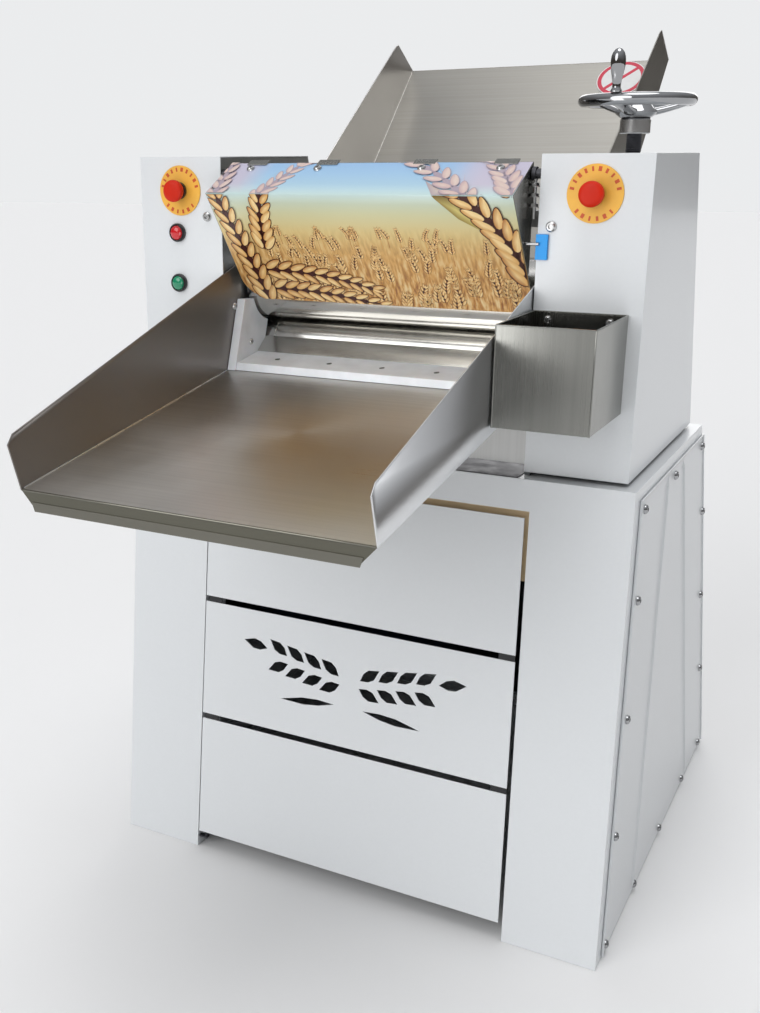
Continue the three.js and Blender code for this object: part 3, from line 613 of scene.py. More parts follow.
SIDE_LEAN = 18 / 875             # how much the cabinet's sides open out, per mm down
REAR_LEAN = 349 / 875
FRONT_LEAN = 73 / 875
COVER_SCREWS = [
    # (y, z) on each side cover
    (39, 831), (286, 831), (547, 830), (617, 673), (689, 459), (771, 247), (838, 21),
    (30, 670), (11, 453), (-18, 234), (-42, 22), (177, 18), (404, 20), (640, 20),
]
REAR_SCREW_HEIGHTS = (30, 230, 430, 630, 832)
REAR_SCREW_INSET = 20            # from the cover's widest edge
HOUSING_SCREWS = ((-331, 1294), (322, 1289))    # (x, z)
FLOUR_BOX_BOLTS = ((326, -1.9, 1142), (428, -1.9, 1142))
TRAY_BOLT = (33, 1128)           # (y, z)
CHEEK_SCREW = (62, 1058)


def cover_face(side, y, z, lift=0.0):
    """A point on a side cover's outer face."""
    low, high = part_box("side_cover_right")
    x = high.x / MM - (z - low.z / MM) * SIDE_LEAN + lift
    return at(side * x, y, z)


def side_screws():
    for name, side in (("left", -1), ("right", 1)):
        spots = [(cover_face(side, y, z), Vector((side, 0, SIDE_LEAN))) for y, z in COVER_SCREWS]
        screw_piece(f"side_cover_screws_{name}", spots, radius=8.5, height=6, finish="chrome")


def rear_screws():
    low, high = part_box("rear_cover")
    spots = []
    for side in (-1, 1):
        for z in REAR_SCREW_HEIGHTS:
            x = high.x - REAR_SCREW_INSET * MM - z * MM * SIDE_LEAN
            y = high.y - (z * MM - low.z) * REAR_LEAN
            spots.append((Vector((side * x, y, z * MM)), Vector((0, 1, REAR_LEAN))))
    screw_piece("rear_cover_screws", spots, radius=6.5, height=4.5)


def facing_in(node, y, z, inset=0.0):
    """Places on the insides of a pair of side walls, each with the way it faces."""
    reach = abs(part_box(node)[1].x / MM) - inset
    return [(at(side * reach, y, z), -side * X_AXIS) for side in (-1, 1)]


def machine_screws():
    screw_piece("housing_screws", [(at(x, 0, z), -Y_AXIS) for x, z in HOUSING_SCREWS], radius=9, height=6)
    bm = bmesh.new()
    for place in FLOUR_BOX_BOLTS:
        hex_screw(bm, at(*place), -Y_AXIS, radius=5.5)
    piece(bm, "flour_box_bolts", "machine", "bright")
    screw_piece("tray_bolts", facing_in("front_tray", *TRAY_BOLT, STEEL), radius=7, height=4)
    screw_piece("cheek_screws", facing_in("cheek_left", *CHEEK_SCREW), radius=6, height=3)


# ---- guard and its printed picture
GUARD_LINE = [(14, 1388), (-79, 1338), (67, 1141)]    # (y, z) of its outer face, from the rear edge
GUARD_CORNER = 50
GUARD_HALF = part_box("guard")[1].x / MM
FLAP, FACE = (math.dist(a, b) for a, b in zip(GUARD_LINE, GUARD_LINE[1:]))
GUARD_LENGTH = FLAP + FACE


def on_guard(u, v, lift):
    """A point over the guard: u across from the middle, v down the sheet from its rear edge."""
    on_flap = v <= FLAP
    start, end = GUARD_LINE[:2] if on_flap else GUARD_LINE[1:]
    length = FLAP if on_flap else FACE
    share = v / FLAP if on_flap else (v - FLAP) / FACE
    dy, dz = (end[0] - start[0]) / length, (end[1] - start[1]) / length
    y = start[0] + (end[0] - start[0]) * share + dz * lift
    z = start[1] + (end[1] - start[1]) * share - dy * lift
    return at(u, y, z)


def picture_half(v):
    """Half the picture's width at a distance down the sheet, with its rounded lower corners."""
    half = GUARD_HALF - 1
    into = v - (GUARD_LENGTH - GUARD_CORNER)
    if into <= 0:
        return half
    return half - GUARD_CORNER + math.sqrt(max(GUARD_CORNER ** 2 - into ** 2, 0))


def rgb(red, green, blue):
    """A screen colour from 0 to 255 as a linear colour."""
    return tuple(
        ((value / 255 + 0.055) / 1.055) ** 2.4 if value > 10 else value / 3295
        for value in (red, green, blue)
    )


INK = rgb(66, 22, 18)
STRAW = rgb(222, 168, 92)
PALE = rgb(252, 226, 168)
AMBER = rgb(178, 112, 52)
# the pinkish light the guard's flap catches, painted into its print
HAZE = rgb(206, 190, 206)


def blend(a, b, share):
    """A colour on the way from one to another."""
    return tuple(p + (q - p) * share for p, q in zip(a, b))


SKY = [
    # distance down the sheet in mm, colour
    (0, (150, 190, 230)), (60, (164, 204, 232)), (FLAP, (190, 212, 210)), (FLAP + 30, (208, 212, 176)),
    (FLAP + 75, (222, 202, 142)), (FLAP + 130, (212, 168, 104)), (GUARD_LENGTH, (182, 128, 72)),
]
HAZE_MIDDLE = -20                # the flap is clear of haze round here
HAZE_START = 170                 # and this far to each side
HAZE_FADE = 60                   # distance over which it grows to its full strength
HAZE_MOST = 0.8


def backdrop(u, v):
    """Sky over a ripe field; the flap catches a pinkish light at its ends."""
    for (start, above), (end, below) in zip(SKY, SKY[1:]):
        if v <= end:
            colour = blend(rgb(*above), rgb(*below), (v - start) / (end - start))
            break
    if v < FLAP:
        haze = (abs(u - HAZE_MIDDLE) - HAZE_START) / HAZE_FADE
        colour = blend(colour, HAZE, min(max(haze, 0), HAZE_MOST))
    return colour


PICTURE_COLUMNS = 24
FACE_ROWS = 10                   # rows of faces down the flat of the sheet
FACE_STEP = 20
CORNER_ROWS = 8                  # and down its rounded corners
PICTURE_LIFT = 0.15
PAST_FOLD = 0.01                 # a place just past the fold


def picture_rows():
    """Distances down the sheet: across the flap, down the face, then round the corners."""
    rows = [1.0, FLAP / 3, FLAP / 1.5, FLAP]
    rows += [FLAP + PAST_FOLD + FACE_STEP * i for i in range(FACE_ROWS)]
    turns = [math.pi / 2 * i / CORNER_ROWS for i in range(CORNER_ROWS)]
    rows += [GUARD_LENGTH - GUARD_CORNER * (1 - math.sin(turn)) for turn in turns]
    return rows + [GUARD_LENGTH - 0.4]


def guard_picture():
    """The printed sheet itself, with its colours at the corners of the faces."""
    bm = bmesh.new()
    uv = bm.loops.layers.uv.new("picture")
    ink = bm.loops.layers.float_color.new("ink")
    across = [2 * i / PICTURE_COLUMNS - 1 for i in range(PICTURE_COLUMNS + 1)]
    grid = [[(picture_half(v) * share, v) for share in across] for v in picture_rows()]
    verts = [[bm.verts.new(on_guard(u, v, PICTURE_LIFT)) for u, v in row] for row in grid]
    for r in range(len(grid) - 1):
        for c in range(PICTURE_COLUMNS):
            corners = [(r, c), (r + 1, c), (r + 1, c + 1), (r, c + 1)]
            face = bm.faces.new([verts[i][j] for i, j in corners])
            for loop, (i, j) in zip(face.loops, corners):
                u, v = grid[i][j]
                loop[uv].uv = (u / (2 * GUARD_HALF) + 0.5, 1 - v / GUARD_LENGTH)
                loop[ink] = (*backdrop(u, v), 1)
    piece(bm, "guard_picture", "guard", "picture", closed=False)


# ---- plates, signs and trim
LEGEND_ARCS = ((90, 78, 10), (-90, 46, 6))    # middle and half spread in degrees, how many dashes
LEGEND_BAND = (0.76, 0.92)       # where the dashes start and end, as shares of the disc's radius
LEGEND_DASHES = (0.045, 0.06, 0.035)


def legend_marks(name):
    """Two arcs of plain dashes on an emergency stop's disc."""
    low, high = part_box(f"estop_{name}_legend")
    centre = Vector(((low.x + high.x) / 2, low.y + 0.1 * MM, (low.z + high.z) / 2))
    radius = (high.x - low.x) / 2
    bm = bmesh.new()
    for middle, spread, count in LEGEND_ARCS:
        for i in range(count):
            angle = math.radians(middle + spread * (2 * i / (count - 1) - 1))
            out, along = spin(X_AXIS, Z_AXIS, angle), spin(Z_AXIS, -X_AXIS, angle)
            width = LEGEND_DASHES[i % len(LEGEND_DASHES)]
            dash = rectangle(*LEGEND_BAND, -width, width)
            bar(bm, [centre + (out * a + along * b) * radius for a, b in dash], -Y_AXIS * 0.4 * MM)
    piece(bm, f"estop_{name}_marks", "machine", "orange")


CLIPS = (-226, -85, 97, 239)     # across the guard
CLIP_HALF = 20
CLIP_REACH = (-7, 9)             # down the sheet from its rear edge
CLIP_LIFT = 0.6
CLIP_SHEET = 1.6
GUARD_SCREWS = ((-232, 22), (-97, 22), (98, 22), (235, 22))    # (u, v)
STUD = {"x": 290, "y": 6, "foot": 1300, "radius": 3, "length": 62}
STUD_NUTS = (1318, 1334, 1350)   # heights


def guard_fittings():
    """Clips and screws along the guard's rear edge, and the hinge studs beside it."""
    bm = bmesh.new()
    up = on_guard(0, 0, 1) - on_guard(0, 0, 0)
    for u in CLIPS:
        clip = rectangle(u - CLIP_HALF, u + CLIP_HALF, *CLIP_REACH)
        bar(bm, [on_guard(*corner, CLIP_LIFT) for corner in clip], up * CLIP_SHEET)
    clips = piece(bm, "guard_clips", "guard", "upright")
    round_edges(clips, 0.4)
    spots = [(on_guard(u, v, 0.4), up) for u, v in GUARD_SCREWS]
    screw_piece("guard_screws", spots, radius=7.5, height=5, body="guard")
    bm = bmesh.new()
    stud = rectangle(0, STUD["radius"], 0, STUD["length"])
    for side in (-1, 1):
        x = side * STUD["x"]
        for z in STUD_NUTS:
            hex_screw(bm, at(x, STUD["y"], z), Z_AXIS, radius=6.5)
        lathe(bm, stud, at(x, STUD["y"], STUD["foot"]), Z_AXIS, segments=12)
    piece(bm, "hinge_studs", "machine", "bright")


FLOOR_SLOPE = 0.148              # rise per length of the front tray's floor, which the lead plate follows
LEAD_SCREWS = (-210, -99, 9, 116, 222)
LEAD_SCREW_HEAD = [(0, 0.3), (4.6, 0.3), (5.2, 0), (0, 0)]    # (radius, height)
LEAD_SCREW_LINE = (45, 1030.5)   # (y, z)
LEAD_SLOT = rectangle(-5, 5, -1.3, 1.3)
LEAD_SLOT_HEADING = (0.55, 0.83)    # the way all the slots point, as (x, y)


def lead_plate_screws():
    """Slotted screws sunk flush in the white lead plate."""
    bm, slots = bmesh.new(), bmesh.new()
    up = Vector((0, -FLOOR_SLOPE, 1)).normalized()
    x, y = LEAD_SLOT_HEADING
    across = Vector((x, y, y * FLOOR_SLOPE)).normalized()
    side = up.cross(across)
    for x in LEAD_SCREWS:
        place = at(x, *LEAD_SCREW_LINE)
        lathe(bm, LEAD_SCREW_HEAD, place, up, segments=20)
        corners = [place + (up * 0.3 + across * a + side * b) * MM for a, b in LEAD_SLOT]
        bar(slots, corners, up * 0.25 * MM)
    piece(bm, "lead_plate_screws", "machine", "steel")
    piece(slots, "lead_plate_slots", "machine", "black")


FINE = 56                        # sides of a large turned shape


def replace_turned(node, body, finish, profile, axis, start):
    """A smoother turned piece in place of a CAD node; profile is (radius, mm along the axis from start)."""
    bm = bmesh.new()
    lathe(bm, profile, start, axis, FINE)
    made = piece(bm, f"{node}_smooth", body, finish)
    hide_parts(node)


# (radius, distance out from the housings' front)
MUSHROOM = [
    (0, 31.8), (12, 31.6), (16.5, 30.8), (19.2, 28.6), (20, 25.5), (19.6, 20), (17.5, 16), (14, 14), (8, 14),
    (8, -30), (0, -30),
]
LENS = [
    (0, 13), (4, 12.8), (7.5, 12.1), (10.5, 10.8), (12.6, 8.9), (13.4, 6.5), (13.4, 6), (6, 6), (6, -26),
    (0, -26),
]


def operator(node, body, finish, profile):
    """A turned piece in place of an operator's node, square to the housings' front."""
    low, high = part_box(node)
    middle = Vector(((low.x + high.x) / 2, FRONT, (low.z + high.z) / 2))
    replace_turned(node, body, finish, profile, -Y_AXIS, middle)


def operators():
    """Mushroom heads of the emergency stops and domed lenses of the buttons."""
    for where in ("left", "right"):
        operator(f"estop_{where}_head", f"estop_{where}", "red", MUSHROOM)
    for colour in ("red", "green"):
        operator(f"button_{colour}_cap", f"button_{colour}", f"lens_{colour}", LENS)


RIM_RADIUS = 87
RIM_HALF = 10                    # radius of the rim's round section
RIM_STEPS = 20
# (radius, height over the middle of the rim)
HUB = [
    (0, -28), (24, -28), (27, -26.5), (33, -22), (35.5, -19), (34, -16), (29, -12), (26, -8), (22, -5),
    (14, -3), (10, -2), (0, -2),
]
SPOKES = 3
FIRST_SPOKE = 0.4                # radians from X
SPOKE_SIDES = 18
SPOKE_START, SPOKE_LENGTH = 22, 62
SPOKE_FOOT, SPOKE_RISE, SPOKE_BEND = -19, 15, 1.3    # height at the hub, its rise, and how late it rises
SPOKE_HALF, SPOKE_WAIST = 16, 5     # half its width, and how much less that is half way along
SPOKE_THICK, SPOKE_TAPER = 6.5, 1.5
SPOKE_SHARES = (0, 0.15, 0.35, 0.55, 0.75, 0.9, 1)
# (radius, height over the knob's foot)
KNOB = [
    (0, 0), (9, 0), (9.4, 2), (8.6, 4), (7, 6), (6.6, 9), (7.2, 15), (8.8, 24), (10.6, 33), (11.8, 41),
    (12, 47), (11.3, 54), (9.3, 60), (6, 64.6), (2.5, 66.8), (0, 67),
]
# (radius, height over the floor)
COLLAR = [(12.4, 1431), (24, 1431), (25.2, 1432.5), (25.2, 1453), (24, 1454.6), (12.4, 1454.6), (12.4, 1431)]
THREAD_FOOT, THREAD_TOP = 1402, 1429
THREAD_PITCH = 3
THREAD_TURNS = 9
THREAD_CORE, THREAD_ROOT, THREAD_CREST = 11.5, 12.2, 13.1


def spoke(bm, centre, angle):
    """A flattened spoke that rises from the hub and grows slimmer towards the rim."""
    out, along = spin(X_AXIS, Y_AXIS, angle), spin(Y_AXIS, -X_AXIS, angle)
    rings = []
    for share in SPOKE_SHARES:
        reach = SPOKE_START + SPOKE_LENGTH * share
        rise = SPOKE_FOOT + SPOKE_RISE * share ** SPOKE_BEND
        half = SPOKE_HALF - SPOKE_WAIST * math.sin(math.pi * share)
        thick = SPOKE_THICK - SPOKE_TAPER * share
        middle = centre + (out * reach + Z_AXIS * rise) * MM
        section = [spin(along * half, Z_AXIS * thick, a) for a in circle(SPOKE_SIDES)]
        rings.append([bm.verts.new(middle + point * MM) for point in section])
    for low, high in zip(rings, rings[1:]):
        bridge(bm, low, high)
    bm.faces.new(rings[0])
    bm.faces.new(rings[-1])


def wheel():
    """Handwheel, knob, collar and thread as smooth turned and lofted forms."""
    low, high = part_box("handwheel")
    centre = Vector(((low.x + high.x) / 2, (low.y + high.y) / 2, high.z - RIM_HALF * MM))
    bm = bmesh.new()
    turns = circle(RIM_STEPS) + [2 * math.pi]
    rim = [(RIM_RADIUS + RIM_HALF * math.cos(a), RIM_HALF * math.sin(a)) for a in turns]
    lathe(bm, rim, centre, Z_AXIS, segments=72)
    lathe(bm, HUB, centre, Z_AXIS, FINE)
    for angle in circle(SPOKES):
        spoke(bm, centre, angle + FIRST_SPOKE)
    made = piece(bm, "handwheel_smooth", "handwheel", "chrome")
    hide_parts("handwheel")
    low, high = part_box("crank_knob")
    foot = Vector(((low.x + high.x) / 2, (low.y + high.y) / 2, low.z))
    replace_turned("crank_knob", "crank_knob", "chrome", KNOB, Z_AXIS, foot)
    bm = bmesh.new()
    base = Vector((centre.x, centre.y, 0))
    lathe(bm, COLLAR, base, Z_AXIS, segments=48)
    piece(bm, "wheel_collar", "handwheel", "bright")
    bm = bmesh.new()
    thread = [(THREAD_ROOT, THREAD_FOOT)]
    for i in range(THREAD_TURNS):
        crest = THREAD_FOOT + THREAD_PITCH * (i + 0.5)
        thread += [(THREAD_CREST, crest), (THREAD_ROOT, crest + THREAD_PITCH / 2)]
    thread += [(THREAD_CORE, THREAD_TOP), (THREAD_CORE, THREAD_FOOT), (THREAD_ROOT, THREAD_FOOT)]
    lathe(bm, thread, base, Z_AXIS, segments=32)
    piece(bm, "wheel_thread", "handwheel", "dark")


# painted shade: dark strips in the slots between the door's panels
SHADE_STRIP_WIDTH = 30
SHADE_STRIP_INSET = 0.5                # from the panels' edges
SHADE_STRIP_GAP = 0.3
SHADE_STRIP_DEPTHS = (1, 2)            # of its front and back, behind the panels' fronts


def slot_shade_strips():
    """Dark strips put in as painted shade where the door's frame would show in the slots between its panels.
    """
    bm = bmesh.new()
    boxes = [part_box(f"door_panel_{name}") for name in ("bottom", "middle", "top")]
    for (_, under), (over, half) in zip(boxes, boxes[1:]):
        low, high = under.z / MM + SHADE_STRIP_GAP, over.z / MM - SHADE_STRIP_GAP
        lower, upper = under.y / MM - SHEET, over.y / MM
        near, far = SHADE_STRIP_DEPTHS
        section = [(lower + near, low), (upper + near, high), (upper + far, high), (lower + far, low)]
        edge = half.x / MM - SHADE_STRIP_INSET
        for x in (-edge, edge - SHADE_STRIP_WIDTH):
            bar(bm, [Vector((x, y, z)) * MM for y, z in section], X_AXIS * SHADE_STRIP_WIDTH * MM)
    piece(bm, "slot_shade_strips", "door", "black")


LOUVRE_LEFTS = (-262, 98)        # left end of each column of slots
LOUVRE_HEIGHTS = [180 + 36 * row for row in range(5)]
HOOD_WIDTH = 164
HOOD_END = 2                     # thickness of its closed ends
HOOD_OUT = 8
HOOD_TOP, HOOD_ROOT = 14, 12     # heights up the cover where its outside and inside meet it
HOOD_SINK = 0.4                  # how far the inside starts below that
HOOD_LIP = (3, 1.6)              # heights of its lower edge, outside and inside


def louvre_hoods():
    """Pressed hoods over the slots of the rear cover."""
    low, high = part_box("rear_cover")
    bm = bmesh.new()
    for left in LOUVRE_LEFTS:
        for z in LOUVRE_HEIGHTS:
            y = (high.y - FRONT) / MM - (z - low.z / MM) * REAR_LEAN
            edge = [(y - HOOD_TOP * REAR_LEAN, z + HOOD_TOP)]
            edge += [(y + HOOD_OUT, z + height) for height in HOOD_LIP]
            hood = edge + [(y - HOOD_ROOT * REAR_LEAN, z + HOOD_ROOT - HOOD_SINK)]
            bar(bm, [at(left, *point) for point in hood], X_AXIS * HOOD_WIDTH * MM)
            for x in (left, left + HOOD_WIDTH - HOOD_END):
                bar(bm, [at(x, *point) for point in edge + [(y, z)]], X_AXIS * HOOD_END * MM)
    piece(bm, "louvre_hoods", "machine", "white")


MOTOR_CENTRE = at(0, 250, 560)
FINS = 30
FIN_SECTION = [(64, -1.1), (72, -0.8), (72, 0.8), (64, 1.1)]    # (radius, across)
FIN_START, FIN_LENGTH = -175, 235
FIN_GAP = 0.7                    # radians to each side of the top with no fins
GRILLE_RADII = (18, 34, 50)
GRILLE_WIDTH = 6
WIRING_SCREWS = rectangle(-112, -28, 213, 287)    # (x, y)
WIRING_TOP = 658
BOX_SCREW_INSET = 14 * MM


def motor_fins():
    """Cooling fins round the motor, its fan grille, and the screws of its wiring and control boxes."""
    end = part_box("motor")[1].x
    bm = bmesh.new()
    for turn in circle(FINS):
        angle = turn + math.pi / FINS
        if abs(angle - math.pi / 2) < FIN_GAP:
            continue
        out, along = spin(Y_AXIS, Z_AXIS, angle), spin(Z_AXIS, -Y_AXIS, angle)
        corners = [MOTOR_CENTRE + (X_AXIS * FIN_START + out * r + along * t) * MM for r, t in FIN_SECTION]
        bar(bm, corners, X_AXIS * FIN_LENGTH * MM)
    for radius in GRILLE_RADII:
        place = Vector((end, MOTOR_CENTRE.y, MOTOR_CENTRE.z))
        washer(bm, (radius, radius + GRILLE_WIDTH), (0, 1.6), place, X_AXIS, segments=40)
    piece(bm, "motor_fins", "machine", "motor")
    bm = bmesh.new()
    for x, y in WIRING_SCREWS:
        button_screw(bm, at(x, y, WIRING_TOP), Z_AXIS, radius=4)
    low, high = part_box("control_box")
    inset = BOX_SCREW_INSET
    for x, z in rectangle(low.x + inset, high.x - inset, low.z + inset, high.z - inset):
        button_screw(bm, Vector((x, low.y, z)), -Y_AXIS, radius=5)
    piece(bm, "box_screws", "machine", "bright")


SIGN_PLACE = at(209, 829, 1554)
SIGN_RADIUS = 52
SIGN_RING = (0.80, 0.96)         # shares of its radius
SIGN_STROKE = (0.82, 0.075)      # half the stroke's length and width, as shares of the radius
REAR_FLOOR = Vector((0, -430, 436)).normalized()     # square to the rear tray's steep floor


def warning_sign():
    """A plain prohibition sign on the rear tray."""
    up = X_AXIS.cross(-REAR_FLOOR)
    bm = bmesh.new()
    lathe(bm, rectangle(0, SIGN_RADIUS, 0.1, 0.7), SIGN_PLACE, REAR_FLOOR, FINE)
    piece(bm, "sign_disc", "machine", "sign_white")
    bm = bmesh.new()
    washer(bm, [share * SIGN_RADIUS for share in SIGN_RING], (0.6, 1.0), SIGN_PLACE, REAR_FLOOR, FINE)
    slope = (X_AXIS + up).normalized()
    side = slope.cross(REAR_FLOOR)
    reach, half = (share * SIGN_RADIUS for share in SIGN_STROKE)
    stroke = rectangle(-reach, reach, -half, half)
    corners = [SIGN_PLACE + (slope * a + side * b + REAR_FLOOR * 0.62) * MM for a, b in stroke]
    bar(bm, corners, REAR_FLOOR * 0.36 * MM)
    piece(bm, "sign_ring", "machine", "sign_red")


CREASES = [((221, 852), (164, 6)), ((352, 852), (684, 6))]    # (y, z) at top and bottom
CREASE_RISE = 3.5
CREASE_HALF = 5
CREASE_FADE = 24                 # height over which a crease runs out at each end
FRONT_EDGE = -60                 # y of a side cover's front and rear edges at the floor
REAR_EDGE = 893


def cover_column(top, bottom, rise=0):
    """Points (y, z, lift) down a side cover; the lift runs out towards both ends."""
    slide = (bottom[0] - top[0]) / (top[1] - bottom[1]) * CREASE_FADE
    return [
        (*top, 0), (top[0] + slide, top[1] - CREASE_FADE, rise),
        (bottom[0] - slide, bottom[1] + CREASE_FADE, rise), (*bottom, 0),
    ]


def side_covers():
    """Each side cover as a sheet stiffened by two pressed creases."""
    low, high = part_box("side_cover_right")
    ends = (high.z / MM, low.z / MM)
    front_top, front_bottom = [(FRONT_EDGE + z * FRONT_LEAN, z) for z in ends]
    rear_top, rear_bottom = [(REAR_EDGE - z * REAR_LEAN, z) for z in ends]
    columns = [cover_column(front_top, front_bottom)]
    for (y_top, z_top), (y_bottom, z_bottom) in CREASES:
        for shift, rise in ((-CREASE_HALF, 0), (0, CREASE_RISE), (CREASE_HALF, 0)):
            columns.append(cover_column((y_top + shift, z_top), (y_bottom + shift, z_bottom), rise))
    columns.append(cover_column(rear_top, rear_bottom))
    for name, side in (("left", -1), ("right", 1)):
        bm = bmesh.new()
        outer = [[cover_face(side, y, z, rise) for y, z, rise in column] for column in columns]
        inner = [[cover_face(side, y, z, -SHEET) for y, z, _ in column] for column in columns]
        sheet(bm, outer, inner)
        rim = (front_bottom, front_top, rear_top, rear_bottom)
        tube(bm, [cover_face(side, y, z, 0.4) for y, z in rim], 2.4)
        # the covers in the darker white, which is painted shade
        cover = piece(bm, f"side_cover_{name}_creased", "machine", "cover_white_painted_shade")
        round_edges(cover, 0.6)
        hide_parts(f"side_cover_{name}")


HEM = 1.3                        # radius of a folded edge
LIP = 2.0                        # radius of a rolled lip
FRONT_LIP = (270, -594.5, 891)   # half its width, y, z
FRONT_FOLD = (296, -595, 920.5)
REAR_LIP = (297, 867, 1589)
FLANGE = [(-273, 889.5), (273, 889.5), (278, 904), (-278, 904)]    # (x, z), over the front lip
FLANGE_FRONT = -595
FRONT_HEM = [(40, 1203), (-605, 1009), (-617, 995), (-595, 921)]    # (y, z) along the side's top edge
REAR_HEM = [(250, 1262), (300, 1309), (767, 1636), (780, 1641), (868, 1590)]
SEAM = 1.5                       # radius of the weld along the floor
SEAM_ENDS = (-2, -592)
SEAM_HEIGHT = 1010.3             # at the housings' front
# painted shade: a dark strip on the deck under the apron
DECK_SHADE_STRIP = rectangle(-297, 297, -23, 90)    # (x, y)
DECK_HEIGHT = 875.2


def front_tray_trim():
    """Hemmed edges and the lip's folds of the front tray."""
    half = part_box("front_tray")[1].x / MM
    bm = bmesh.new()
    for side in (-1, 1):
        tube(bm, [at(side * (half - STEEL / 2), y, z) for y, z in FRONT_HEM], HEM)
    bead(bm, *FRONT_LIP, LIP)
    bar(bm, [at(x, FLANGE_FRONT, z) for x, z in FLANGE], -Y_AXIS * 1.4 * MM)
    bead(bm, *FRONT_FOLD, 1.6)
    piece(bm, "front_tray_hems", "machine", "tray")


def rear_tray_trim():
    """Hemmed edges of the rear tray, which is as wide as the front one."""
    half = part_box("front_tray")[1].x / MM
    bm = bmesh.new()
    for side in (-1, 1):
        tube(bm, [at(side * (half - STEEL / 2), y, z) for y, z in REAR_HEM], HEM)
    bead(bm, *REAR_LIP, LIP)
    piece(bm, "rear_tray_hems", "machine", "tray_side")


def tray_seams():
    """Weld seams along both sides of the front tray's floor."""
    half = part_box("front_tray")[1].x / MM - 1.5 * STEEL
    bm = bmesh.new()
    for side in (-1, 1):
        tube(bm, [at(side * half, y, SEAM_HEIGHT + FLOOR_SLOPE * y) for y in SEAM_ENDS], SEAM)
    piece(bm, "tray_seams", "machine", "bright")


def deck_shade_strip():
    """A dark strip on the deck, painted shade seen in the gap under the apron."""
    bm = bmesh.new()
    bar(bm, [at(x, y, DECK_HEIGHT) for x, y in DECK_SHADE_STRIP], Z_AXIS * 1.2 * MM)
    piece(bm, "deck_shade_strip", "machine", "dark")


def flour_box_beads():
    """Rounded edges round the flour box's mouth and down its front corners."""
    low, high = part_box("flour_box")
    inset = STEEL / 2 * MM
    mouth = rectangle(low.x + inset, high.x - inset, low.y + inset, high.y - inset)
    rim = [Vector((x, y, high.z)) for x, y in mouth]
    bm = bmesh.new()
    for start, end in zip(rim, rim[1:] + rim[:1]):
        tube(bm, [start, end], 1.5)
    for corner in rim[:2]:
        tube(bm, [corner, Vector((corner.x, corner.y, low.z))], 1.4)
    piece(bm, "flour_box_beads", "machine", "upright")


# ---- the guard's printed wheat
def set_out(root, angle, points):
    """Points (along, across) on the sheet, set out from a root at an angle; v runs down the sheet."""
    u, v = math.cos(angle), -math.sin(angle)
    return [(root[0] + u * a - v * b, root[1] + v * a + u * b) for a, b in points]


FLAP_HAZE = 0.62                 # how far the print on the flap is washed towards the painted pinkish light the flap catches
GRAIN_POINTS = 14
LEAF = [(-0.1, 0), (0.3, 0.5), (0.7, 0.4), (1, 0), (0.7, -0.4), (0.3, -0.5)]    # shares of length and width
GRAIN_LEAN = 0.50                # radians between a grain and its ear
GRAIN_FOOT = 0.07                # a grain's distance from the ear's middle line, as a share of the ear's size


